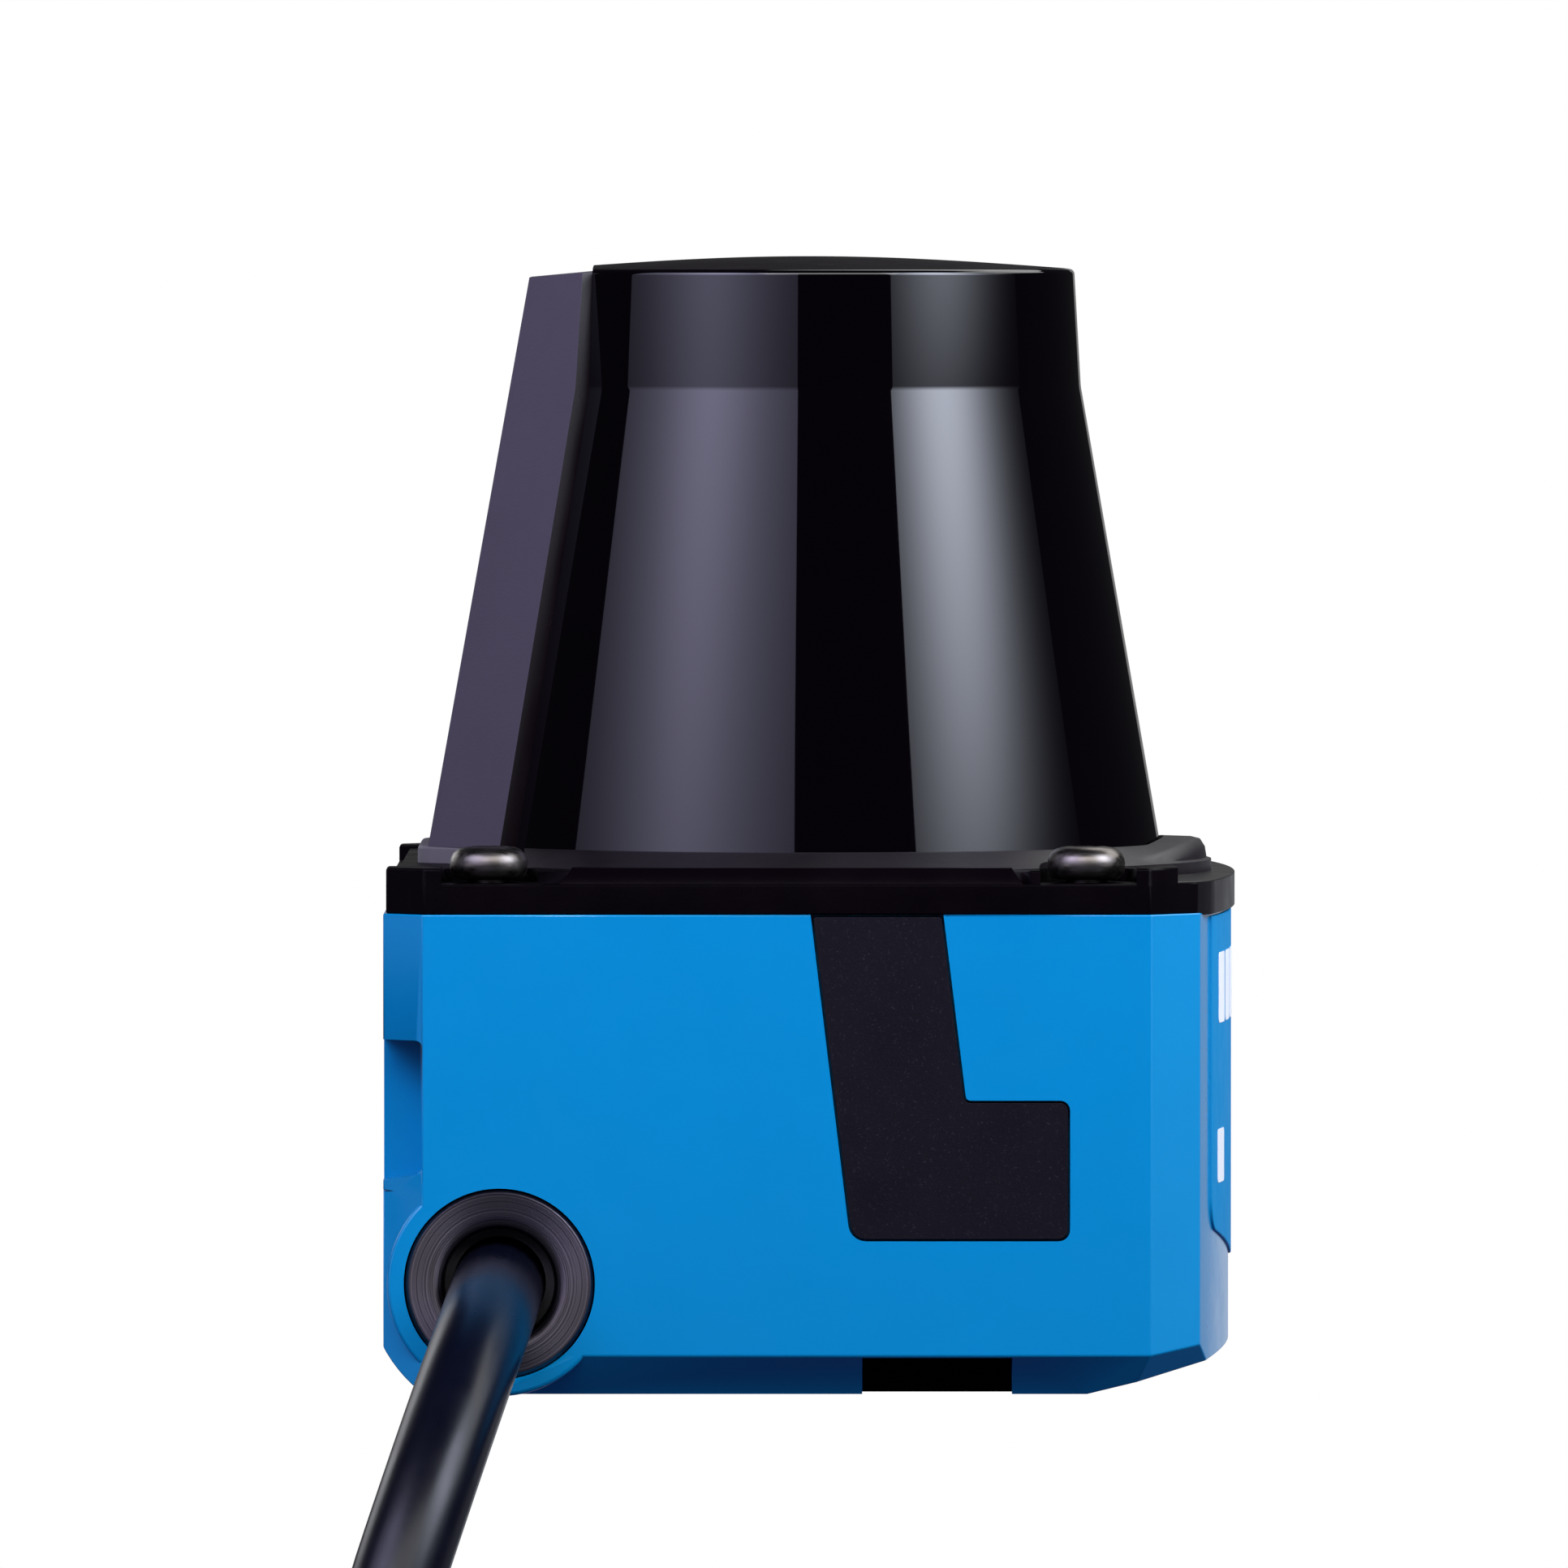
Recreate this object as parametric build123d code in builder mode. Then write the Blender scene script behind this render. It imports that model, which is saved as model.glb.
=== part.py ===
"""A compact laser scanner: a 60 x 60 x 80 mm housing under a tapered scanning hood.

X points to the front (the side the scan fan leaves), Z points up, and the origin is the centre of the
base plane, between the two base fixing holes. The spinning mirror turns about Z through the origin.
All sizes are in millimetres.
"""

import math
import os

from build123d import *

os.makedirs("parts", exist_ok=True)

# --- Housing -----------------------------------------------------------------------------------
REAR_X = -30.0
SIDE_Y = 30.0
FRONT_X = 30.0  # apex of the bowed front
HOUSING_TOP = 33.85
REAR_CHAMFER = 2.8
FACET_START = (24.0, 30.0)  # where a side ends and the front corner facet begins
FACET_END = (27.5, 26.3)  # where the facet meets the bowed front
BASE_CHAMFER = 2.85
FRONT_BEVEL_X = 19.5  # the underside rises from here to the front
FRONT_BEVEL_RISE = 2.7
WALL = 3.0
FLOOR = 3.6

# --- Cable outlet ------------------------------------------------------------------------------
GLAND_X = -21.8
GLAND_Z = 7.9
GLAND_R = 6.6
GLAND_BORE_R = 4.25
GLAND_BOSS_R = 7.9
CABLE_D = 6.5
CABLE_R = CABLE_D / 2

# --- Service port and its cover ----------------------------------------------------------------
COVER_LEFT = 0.06
COVER_RIGHT = 18.3
COVER_STEP = (11.0, 20.8)  # inner corner of the L
COVER_TOP_RIGHT = 9.4
COVER_BOTTOM = 10.9
COVER_DEPTH = 1.6
COVER_GAP = 0.3
PORT_X = 9.6
PORT_Z = 16.2
PORT_SIZE = (8.6, 4.0)

# --- Hood --------------------------------------------------------------------------------------
FLANGE_TOP = 36.75
FLANGE_INSET = 0.2
PLATEAU_TOP = 37.9
LOBE_TOP = 35.8
RECESS_FLOOR = 36.0
WINDOW_SEAT = 36.0
CONE_FOOT_Z = 38.2
CONE_FOOT_R = 25.1
KINK_Z = 70.7
KINK_R = 19.45
RIM_Z = 79.1
RIM_R = 19.0
DOME_Z = 80.0
HOOD_WALL = 1.6
CEILING_Z = 78.2
SPINE_FOOT_Z = 38.5

# --- Hood screws -------------------------------------------------------------------------------
SCREW_XS = (-22.6, 19.5)
SCREW_Y = 24.5
SCREW_HEAD_R = 2.75
SCREW_HEAD_H = 2.3
SCREW_SEAT = 36.3
M3_R = 1.5
M3_TAP_R = 1.25

# --- Fixing holes ------------------------------------------------------------------------------
FIXING_SPACING = 40.0
REAR_FIXING_Z = 19.8
INSERT_R = 2.2
INSERT_LENGTH = 5.0
BOSS_R = 3.6

# --- Scanning head -----------------------------------------------------------------------------
CHASSIS_Z = 27.0
CHASSIS_T = 2.5
CHASSIS_TOP = CHASSIS_Z + CHASSIS_T
SHAFT_R = 1.5
BEARING_R = 4.5
BEARING_H = 3.0
BEARING_ZS = (28.0, 37.5)
RUNNING_GAP = 0.05
STATOR_Z = 30.5
STATOR_H = 6.0
CUP_TOP = 44.0
CUP_R = 13.0
MIRROR_R = 10.0
MIRROR_Z = 54.5  # where the 45 degree mirror crosses the axis
MIRROR_T = 1.5
HEAD_Z = 67.6

# --- Cable route (row frame) -------------------------------------------------------------------
CABLE_START = (GLAND_X, -17.0, GLAND_Z)
LEAD_POINTS = [
    CABLE_START,
    (-21.8, -36.6, 7.9),
    (-25.1, -53.8, -1.0),
    (-30.6, -63.3, -17.4),
    (-32.8, -64.4, -37.2),
    (-33.0, -64.25, -56.25),
]
COIL_X = 6.0
COIL_Y = -67.5
COIL_Z = -56.25
COIL_R = 11 * CABLE_R  # at the middle of the turns
TAIL_X = COIL_X - COIL_R - CABLE_R
TAIL_Y = COIL_Y - CABLE_R
PLUG_TOP = -84.0
RELIEF_H = 14.0
PLUG_BODY_H = 16.0
NUT_H = 13.0


def save(builder, label):
    """Names a finished piece and writes its STEP file."""
    builder.part.label = label
    export_step(builder.part, f"parts/{label}.step")


def cone_radius(z, inset=0.0):
    """Outer radius of the hood at height z, less an inset."""
    if z <= KINK_Z:
        slope = (CONE_FOOT_R - KINK_R) / (KINK_Z - CONE_FOOT_Z)
        return CONE_FOOT_R - slope * (z - CONE_FOOT_Z) - inset
    return KINK_R - (KINK_R - RIM_R) * (z - KINK_Z) / (RIM_Z - KINK_Z) - inset


def plan_outline():
    """Seen from above: flat back with chamfered corners, flat sides, bowed front."""
    with BuildSketch() as outline:
        with BuildLine():
            Polyline(
                (FACET_END[0], -FACET_END[1]),
                (FACET_START[0], -FACET_START[1]),
                (REAR_X + REAR_CHAMFER, -SIDE_Y),
                (REAR_X, -SIDE_Y + REAR_CHAMFER),
                (REAR_X, SIDE_Y - REAR_CHAMFER),
                (REAR_X + REAR_CHAMFER, SIDE_Y),
                FACET_START,
                FACET_END,
            )
            ThreePointArc(FACET_END, (FRONT_X, 0), (FACET_END[0], -FACET_END[1]))
        make_face()
    return outline.sketch


def cover_outline(gap=0.0):
    """The L of the port cover, in the plane of the side, shrunk by a gap."""
    with BuildSketch() as outline:
        with BuildLine():
            Polyline(
                (COVER_LEFT, HOUSING_TOP),
                (COVER_LEFT + 2.65, COVER_BOTTOM + 1.2),
                (COVER_LEFT + 3.8, COVER_BOTTOM),
                (COVER_RIGHT, COVER_BOTTOM),
                (COVER_RIGHT, COVER_STEP[1]),
                COVER_STEP,
                (COVER_TOP_RIGHT, HOUSING_TOP),
                close=True,
            )
        make_face()
        if gap:
            offset(amount=-gap, kind=Kind.INTERSECTION)
    return outline.sketch


OUTLINE = plan_outline()
SIDE_PLANE = Plane(origin=(0, -SIDE_Y, 0), x_dir=(1, 0, 0), z_dir=(0, -1, 0))
SCREW_SPOTS = [(x, y) for x in SCREW_XS for y in (-SCREW_Y, SCREW_Y)]
FIXING_YS = (-FIXING_SPACING / 2, FIXING_SPACING / 2)

# --- Lower housing -----------------------------------------------------------------------------
with BuildPart() as lower_housing:
    with BuildSketch(Plane.XY):
        add(OUTLINE)
    extrude(amount=HOUSING_TOP)
    # sloping sides of the underside
    for side in (-1, 1):
        with BuildSketch(Plane.YZ.offset(REAR_X)):
            with BuildLine():
                Polyline(
                    (side * SIDE_Y, 0),
                    (side * (SIDE_Y - BASE_CHAMFER), 0),
                    (side * SIDE_Y, BASE_CHAMFER),
                    close=True,
                )
            make_face()
        extrude(amount=2 * FRONT_X, mode=Mode.SUBTRACT)
    # rising front of the underside
    with BuildSketch(Plane.XZ.offset(-SIDE_Y)):
        with BuildLine():
            Polyline((FRONT_BEVEL_X, 0), (FRONT_X, 0), (FRONT_X, FRONT_BEVEL_RISE), close=True)
        make_face()
    extrude(amount=2 * SIDE_Y, mode=Mode.SUBTRACT)
    # rear corner of the underside
    with BuildSketch(Plane.XZ.offset(-SIDE_Y)):
        with BuildLine():
            Polyline((REAR_X, 0), (REAR_X + 3.1, 0), (REAR_X, 3.1), close=True)
        make_face()
    extrude(amount=2 * SIDE_Y, mode=Mode.SUBTRACT)
    # round collar of the cable outlet, which interrupts both chamfers
    with BuildSketch(SIDE_PLANE):
        with Locations((GLAND_X, GLAND_Z)):
            Circle(GLAND_BOSS_R)
    extrude(amount=-12)
    # inside
    with BuildSketch(Plane.XY.offset(FLOOR)):
        add(OUTLINE)
        offset(amount=-WALL, kind=Kind.INTERSECTION)
    extrude(amount=HOUSING_TOP, mode=Mode.SUBTRACT)
    # collar inside, around the cable gland
    with BuildSketch(SIDE_PLANE.offset(-1.0)):
        with Locations((GLAND_X, GLAND_Z)):
            Circle(GLAND_BOSS_R)
    extrude(amount=-8)
    # bosses for the hood screws and the base fixings, ledges for the chassis
    with BuildSketch(Plane.XY.offset(FLOOR)):
        with Locations(*[spot for spot in SCREW_SPOTS if spot != (SCREW_XS[0], -SCREW_Y)]):
            Circle(BOSS_R)
    extrude(amount=HOUSING_TOP - FLOOR)
    with BuildSketch(Plane.XY.offset(GLAND_Z + GLAND_R)):
        with Locations((SCREW_XS[0], -SCREW_Y)):
            Circle(BOSS_R)
    extrude(amount=HOUSING_TOP - GLAND_Z - GLAND_R)
    with BuildSketch(Plane.XY.offset(FLOOR)):
        with Locations(*[(0, y) for y in FIXING_YS]):
            Circle(BOSS_R)
    extrude(amount=4.2)
    for side in (-1, 1):
        with BuildSketch(Plane.XY.offset(CHASSIS_Z - 3)):
            with Locations((-4, side * (SIDE_Y - WALL - 1.0))):
                Rectangle(22, 3.0)
        extrude(amount=3)
        with BuildSketch(Plane.YZ.offset(REAR_X + WALL - 0.2)):
            with Locations((side * FIXING_SPACING / 2, REAR_FIXING_Z)):
                Circle(BOSS_R)
        extrude(amount=4.2)
    # screw holes and insert pockets
    with Locations(*[(x, y, HOUSING_TOP) for x, y in SCREW_SPOTS]):
        Hole(M3_R, depth=9)
    with BuildSketch(Plane.XY):
        with Locations(*[(0, y) for y in FIXING_YS]):
            Circle(INSERT_R)
    extrude(amount=INSERT_LENGTH + 1, mode=Mode.SUBTRACT)
    with BuildSketch(Plane.YZ.offset(REAR_X)):
        with Locations(*[(y, REAR_FIXING_Z) for y in FIXING_YS]):
            Circle(INSERT_R)
    extrude(amount=INSERT_LENGTH + 1, mode=Mode.SUBTRACT)
    with BuildSketch(Plane.XY.offset(CHASSIS_Z - 3)):
        with Locations(*[(x, y) for x in (-11, 3) for y in (-SIDE_Y + WALL + 1.1, SIDE_Y - WALL - 1.1)]):
            Circle(0.8)
    extrude(amount=3, mode=Mode.SUBTRACT)
    # gland bore, cover pocket, port opening
    with BuildSketch(SIDE_PLANE):
        with Locations((GLAND_X, GLAND_Z)):
            Circle(GLAND_R)
    extrude(amount=-9, mode=Mode.SUBTRACT)
    with BuildSketch(SIDE_PLANE):
        add(cover_outline())
    extrude(amount=-COVER_DEPTH - 0.05, mode=Mode.SUBTRACT)
    with BuildSketch(SIDE_PLANE):
        with Locations((PORT_X, PORT_Z)):
            Rectangle(*PORT_SIZE)
    extrude(amount=-WALL - 1, mode=Mode.SUBTRACT)
    # shallow grip notches in the underside and in the rear corners
    for side in (-1, 1):
        with Locations((9.0, side * 27.0, 1.35)):
            Box(10.5, 6.0, 2.7, mode=Mode.SUBTRACT)
        with Locations((REAR_X + 1.0, side * 27.5, 19.8)):
            Box(3.6, 7.0, 10.4, mode=Mode.SUBTRACT)
    # seat of the front label panel
    with BuildSketch(Plane.YZ.offset(FRONT_X - 1.0)):
        with Locations((0, 22.5)):
            Rectangle(30.0, 22.7)
    extrude(amount=2, mode=Mode.SUBTRACT)
save(lower_housing, "lower_housing")

with BuildPart() as front_label_panel:
    with BuildSketch(Plane.XY.offset(11.15)):
        add(OUTLINE)
    extrude(amount=22.7)
    with BuildSketch(Plane.YZ.offset(FRONT_X - 1.0)):
        with Locations((0, 22.5)):
            Rectangle(30.0, 22.7)
    extrude(amount=1, mode=Mode.INTERSECT)
save(front_label_panel, "front_label_panel")

with BuildPart() as threaded_inserts:
    with BuildSketch(Plane.XY):
        with Locations(*[(0, y) for y in FIXING_YS]):
            Circle(INSERT_R)
            Circle(M3_TAP_R, mode=Mode.SUBTRACT)
    extrude(amount=INSERT_LENGTH)
    with BuildSketch(Plane.YZ.offset(REAR_X)):
        with Locations(*[(y, REAR_FIXING_Z) for y in FIXING_YS]):
            Circle(INSERT_R)
            Circle(M3_TAP_R, mode=Mode.SUBTRACT)
    extrude(amount=INSERT_LENGTH)
save(threaded_inserts, "threaded_inserts")

# --- Cable gland -------------------------------------------------------------------------------
with BuildPart() as cable_gland:
    with BuildSketch(SIDE_PLANE):
        with Locations((GLAND_X, GLAND_Z)):
            Circle(GLAND_R)
            Circle(GLAND_BORE_R, mode=Mode.SUBTRACT)
    extrude(amount=-9)
    fillet(cable_gland.edges().filter_by(GeomType.CIRCLE).group_by(Axis.Y)[0], radius=0.5)
save(cable_gland, "cable_gland")

with BuildPart() as gland_seal:
    with BuildSketch(SIDE_PLANE.offset(-2.5)):
        with Locations((GLAND_X, GLAND_Z)):
            Circle(GLAND_BORE_R)
            Circle(CABLE_R, mode=Mode.SUBTRACT)
    extrude(amount=-6)
save(gland_seal, "gland_seal")

with BuildPart() as gland_nut:
    with BuildSketch(SIDE_PLANE.offset(-9)):
        with Locations((GLAND_X, GLAND_Z)):
            Circle(4.2)
            Circle(CABLE_R, mode=Mode.SUBTRACT)
    extrude(amount=-2.4)
save(gland_nut, "gland_nut")

# --- Port cover and socket ---------------------------------------------------------------------
with BuildPart() as port_cover:
    with BuildSketch(SIDE_PLANE):
        add(cover_outline(COVER_GAP))
    extrude(amount=-COVER_DEPTH)
    with BuildSketch(SIDE_PLANE.offset(-COVER_DEPTH)):
        with Locations((PORT_X, PORT_Z)):
            Rectangle(PORT_SIZE[0] - 0.6, PORT_SIZE[1] - 0.6)
    extrude(amount=-0.9)
save(port_cover, "port_cover")

with BuildPart() as usb_socket:
    with BuildSketch(SIDE_PLANE.offset(-WALL)):
        with Locations((PORT_X, PORT_Z)):
            Rectangle(7.8, 3.0)
            Rectangle(7.2, 2.4, mode=Mode.SUBTRACT)
    extrude(amount=-5.5)
    with BuildSketch(SIDE_PLANE.offset(-WALL - 1.0)):
        with Locations((PORT_X, PORT_Z)):
            Rectangle(5.4, 0.8)
    extrude(amount=-4.5)
    with BuildSketch(SIDE_PLANE.offset(-WALL - 5.5)):
        with Locations((PORT_X, PORT_Z)):
            Rectangle(7.8, 3.0)
    extrude(amount=-0.6)
save(usb_socket, "usb_socket")

# --- Main board --------------------------------------------------------------------------------
BOARD_Z = 13.1
BOARD_T = 1.6
BOARD_X = 1.0
BOARD_SIZE = (28.0, 50.0)
BOARD_HOLES = [(BOARD_X + dx, dy) for dx in (-12, 12) for dy in (-15, 15)]

with BuildPart() as main_board:
    with BuildSketch(Plane.XY.offset(BOARD_Z)):
        with Locations((BOARD_X, 0)):
            Rectangle(*BOARD_SIZE)
        with Locations(*BOARD_HOLES):
            Circle(1.1, mode=Mode.SUBTRACT)
    extrude(amount=BOARD_T)
save(main_board, "main_board")

with BuildPart() as board_components:
    for x, y, wide, deep, tall in (
        (2.0, 4.0, 10.0, 10.0, 1.4),
        (-5.0, 17.0, 7.0, 7.0, 1.2),
        (8.0, 17.0, 6.0, 5.0, 2.0),
        (-6.0, -8.0, 5.0, 4.0, 1.6),
        (8.0, -10.0, 6.0, 6.0, 3.0),
    ):
        with Locations((x, y, BOARD_Z + BOARD_T + tall / 2)):
            Box(wide, deep, tall)
save(board_components, "board_components")

with BuildPart() as board_spacers:
    with BuildSketch(Plane.XY.offset(FLOOR)):
        with Locations(*BOARD_HOLES):
            RegularPolygon(2.3, 6)
            Circle(1.1, mode=Mode.SUBTRACT)
    extrude(amount=BOARD_Z - FLOOR)
save(board_spacers, "board_spacers")

with BuildPart() as board_screws:
    with BuildSketch(Plane.XY.offset(BOARD_Z - 5)):
        with Locations(*BOARD_HOLES):
            Circle(1.1)
    extrude(amount=5 + BOARD_T)
    with BuildSketch(Plane.XY.offset(BOARD_Z + BOARD_T)):
        with Locations(*BOARD_HOLES):
            Circle(2.0)
    extrude(amount=1.2)
save(board_screws, "board_screws")

with BuildPart() as lead_connector:
    with Locations((-4.0, -20.0, BOARD_Z + BOARD_T + 2.5)):
        Box(6.0, 7.0, 5.0)
save(lead_connector, "lead_connector")

# --- Hood frame: flange and opaque rear spine --------------------------------------------------
SPINE_SECTIONS = (
    # height, rear plane x, rear half width, facet end x, window edge x
    (SPINE_FOOT_Z, -27.05, 9.2, -21.9, -20.7),
    (KINK_Z, -21.33, 7.7, -16.6, -15.6),
    (RIM_Z - 0.2, -19.85, 7.3, -16.1, -15.4),
)


def spine_section(z, rear, half, facet, window):
    """One level of the spine: rear flat, a 45 degree facet each side, a narrow dark facet."""
    edge_y = math.sqrt(cone_radius(z) ** 2 - window**2)
    facet_y = half + facet - rear
    with BuildSketch(Plane.XY.offset(z)) as section:
        with BuildLine():
            Polyline(
                (rear, -half),
                (rear, half),
                (facet, facet_y),
                (window, edge_y),
                (window, -edge_y),
                (facet, -facet_y),
                close=True,
            )
        make_face()
    return section.sketch


def hood_cavity():
    """The space inside the hood, round about Z."""
    with BuildPart() as cavity:
        with BuildSketch(Plane.XZ):
            with BuildLine():
                Polyline(
                    (0, WINDOW_SEAT - 4),
                    (23.2, WINDOW_SEAT - 4),
                    (23.2, CONE_FOOT_Z),
                    (cone_radius(CONE_FOOT_Z, HOOD_WALL), CONE_FOOT_Z),
                    (cone_radius(KINK_Z, HOOD_WALL), KINK_Z),
                    (cone_radius(CEILING_Z, HOOD_WALL), CEILING_Z),
                    (0, CEILING_Z),
                    close=True,
                )
            make_face()
        revolve(axis=Axis.Z)
    return cavity.part


def behind_window():
    """Everything behind the rear edges of the window."""
    with BuildPart() as region:
        with BuildSketch(Plane.XZ.offset(-SIDE_Y)):
            with BuildLine():
                Polyline(
                    (-21.1, WINDOW_SEAT - 1),
                    (SPINE_SECTIONS[0][4], SPINE_FOOT_Z),
                    (SPINE_SECTIONS[1][4], KINK_Z),
                    (SPINE_SECTIONS[2][4], SPINE_SECTIONS[2][0]),
                    (SPINE_SECTIONS[2][4], DOME_Z + 2),
                    (-40, DOME_Z + 2),
                    (-40, WINDOW_SEAT - 1),
                    close=True,
                )
            make_face()
        extrude(amount=2 * SIDE_Y)
    return region.part


CAVITY = hood_cavity()
BEHIND = behind_window()

with BuildPart() as hood_frame:
    with BuildSketch(Plane.XY.offset(HOUSING_TOP)):
        add(OUTLINE)
        offset(amount=-FLANGE_INSET, kind=Kind.INTERSECTION)
    extrude(amount=FLANGE_TOP - HOUSING_TOP)
    # lower lobe along the bowed front
    with Locations((FRONT_X - 0.5, 0, LOBE_TOP + 2)):
        Box(9.0, 2 * SIDE_Y, 4.0, mode=Mode.SUBTRACT)
    # plateau round the foot of the window
    with BuildSketch(Plane.XY.offset(FLANGE_TOP - 1.5)):
        Circle(27.2)
    extrude(amount=PLATEAU_TOP - FLANGE_TOP + 1.5)
    # pointed nose in front, block behind
    with BuildSketch(Plane.XY.offset(LOBE_TOP - 1)):
        with BuildLine():
            Polyline((20.0, -13.0), (28.4, 0), (20.0, 13.0), close=True)
        make_face()
    extrude(amount=38.5 - LOBE_TOP + 1)
    with BuildSketch(Plane.XY.offset(FLANGE_TOP - 1)):
        with BuildLine():
            Polyline((-27.9, -9.6), (-27.9, 9.6), (-22.0, 15.0), (-22.0, -15.0), close=True)
        make_face()
    extrude(amount=SPINE_FOOT_Z - FLANGE_TOP + 1)
    # spine
    for low, high in zip(SPINE_SECTIONS, SPINE_SECTIONS[1:]):
        loft([spine_section(*low), spine_section(*high)], ruled=True)
    # screw recesses, open to the sides
    for spot in SCREW_SPOTS:
        with BuildSketch(Plane.XY.offset(RECESS_FLOOR)):
            with Locations(spot):
                Circle(3.5)
            with Locations((spot[0], math.copysign(28.0, spot[1]))):
                Rectangle(7.0, 7.0)
        extrude(amount=5, mode=Mode.SUBTRACT)
    with Locations(*[(x, y, SCREW_SEAT) for x, y in SCREW_SPOTS]):
        Hole(M3_R, depth=5)
    # seat for the window, then the space inside
    with BuildSketch(Plane.XY.offset(WINDOW_SEAT)):
        Circle(cone_radius(WINDOW_SEAT) + 0.05)
    extrude(amount=SPINE_FOOT_Z - WINDOW_SEAT, mode=Mode.SUBTRACT)
    with BuildSketch(Plane.XY.offset(WINDOW_SEAT)):
        with BuildLine():
            Polyline((-27.0, -10.0), (-27.0, 10.0), (-21.1, 14.4), (-21.1, -14.4), close=True)
        make_face()
    extrude(amount=SPINE_FOOT_Z - WINDOW_SEAT)
    add(CAVITY, mode=Mode.SUBTRACT)
    with BuildSketch(Plane.XY.offset(HOUSING_TOP)):
        Circle(23.2)
    extrude(amount=WINDOW_SEAT - HOUSING_TOP, mode=Mode.SUBTRACT)
save(hood_frame, "hood_frame")

with BuildPart() as scan_window:
    with BuildSketch(Plane.XZ):
        with BuildLine():
            Polyline(
                (0, CEILING_Z),
                (cone_radius(CEILING_Z, HOOD_WALL), CEILING_Z),
                (cone_radius(KINK_Z, HOOD_WALL), KINK_Z),
                (cone_radius(CONE_FOOT_Z, HOOD_WALL), CONE_FOOT_Z),
                (cone_radius(WINDOW_SEAT, HOOD_WALL), WINDOW_SEAT),
                (cone_radius(WINDOW_SEAT), WINDOW_SEAT),
                (KINK_R, KINK_Z),
                (RIM_R, RIM_Z),
            )
            ThreePointArc((RIM_R, RIM_Z), (RIM_R / 2, DOME_Z - 0.24), (0, DOME_Z))
            Line((0, DOME_Z), (0, CEILING_Z))
        make_face()
    revolve(axis=Axis.Z)
    add(BEHIND, mode=Mode.SUBTRACT)
save(scan_window, "scan_window")

with BuildPart() as hood_gasket:
    with BuildSketch(Plane.XY.offset(HOUSING_TOP - 1.2)):
        Rectangle(51.0, 40.0)
        Rectangle(49.0, 38.0, mode=Mode.SUBTRACT)
    extrude(amount=1.2)
save(hood_gasket, "hood_gasket")

with BuildPart() as hood_screws:
    with BuildSketch(Plane.XY.offset(SCREW_SEAT - 0.3)):
        with Locations(*SCREW_SPOTS):
            Circle(SCREW_HEAD_R)
    extrude(amount=SCREW_HEAD_H + 0.3)
    fillet(hood_screws.edges().filter_by(GeomType.CIRCLE).group_by(Axis.Z)[-1], radius=0.7)
    with BuildSketch(Plane.XY.offset(SCREW_SEAT + SCREW_HEAD_H)):
        with Locations(*SCREW_SPOTS):
            RegularPolygon(1.15, 6)
    extrude(amount=-1.2, mode=Mode.SUBTRACT)
    with BuildSketch(Plane.XY.offset(SCREW_SEAT)):
        with Locations(*SCREW_SPOTS):
            Circle(M3_R)
    extrude(amount=-10)
save(hood_screws, "hood_screws")

# --- Chassis and motor -------------------------------------------------------------------------
LEDGE_SCREWS = [(x, y) for x in (-11, 3) for y in (-SIDE_Y + WALL + 1.1, SIDE_Y - WALL - 1.1)]

with BuildPart() as optics_chassis:
    with BuildSketch(Plane.XY.offset(CHASSIS_Z)):
        with Locations((-4, 0)):
            Rectangle(24, 2 * (SIDE_Y - WALL) - 0.4)
        Rectangle(40, 34)
        with Locations(*LEDGE_SCREWS):
            Circle(0.8, mode=Mode.SUBTRACT)
    extrude(amount=CHASSIS_T)
    with BuildSketch(Plane.XY.offset(CHASSIS_Z)):
        Circle(6.0)
    extrude(amount=BEARING_ZS[1] + BEARING_H - CHASSIS_Z)
    with BuildSketch(Plane.XY.offset(CHASSIS_Z)):
        Circle(BEARING_R)
    extrude(amount=BEARING_ZS[1] + BEARING_H - CHASSIS_Z, mode=Mode.SUBTRACT)
save(optics_chassis, "optics_chassis")

with BuildPart() as chassis_screws:
    with BuildSketch(Plane.XY.offset(CHASSIS_Z - 3)):
        with Locations(*LEDGE_SCREWS):
            Circle(0.8)
    extrude(amount=3 + CHASSIS_T)
    with BuildSketch(Plane.XY.offset(CHASSIS_TOP)):
        with Locations(*LEDGE_SCREWS):
            Circle(1.0)
    extrude(amount=1.0)
save(chassis_screws, "chassis_screws")

with BuildPart() as motor_stator:
    with BuildSketch(Plane.XY.offset(STATOR_Z)):
        Circle(7.6)
        with PolarLocations(8.4, 6):
            Rectangle(3.4, 2.0)
        Circle(6.0, mode=Mode.SUBTRACT)
    extrude(amount=STATOR_H)
save(motor_stator, "motor_stator")

with BuildPart() as stator_coils:
    with BuildSketch(Plane.XY.offset(STATOR_Z + 0.8)):
        with PolarLocations(8.6, 6):
            Rectangle(1.6, 4.0)
            Rectangle(1.6, 2.0, mode=Mode.SUBTRACT)
    extrude(amount=STATOR_H - 1.6)
save(stator_coils, "stator_coils")

with BuildPart() as bearing_outer_rings:
    for z in BEARING_ZS:
        with BuildSketch(Plane.XY.offset(z)):
            Circle(BEARING_R)
            Circle(3.0, mode=Mode.SUBTRACT)
        extrude(amount=BEARING_H)
save(bearing_outer_rings, "bearing_outer_rings")

with BuildPart() as encoder_sensor:
    with Locations((17.6, 0, (CHASSIS_TOP + 42.0) / 2)):
        Box(3.6, 5.0, 42.0 - CHASSIS_TOP)
    with Locations((16.4, 0, 40.3)):
        Box(2.6, 5.0, 1.6, mode=Mode.SUBTRACT)
save(encoder_sensor, "encoder_sensor")

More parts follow.
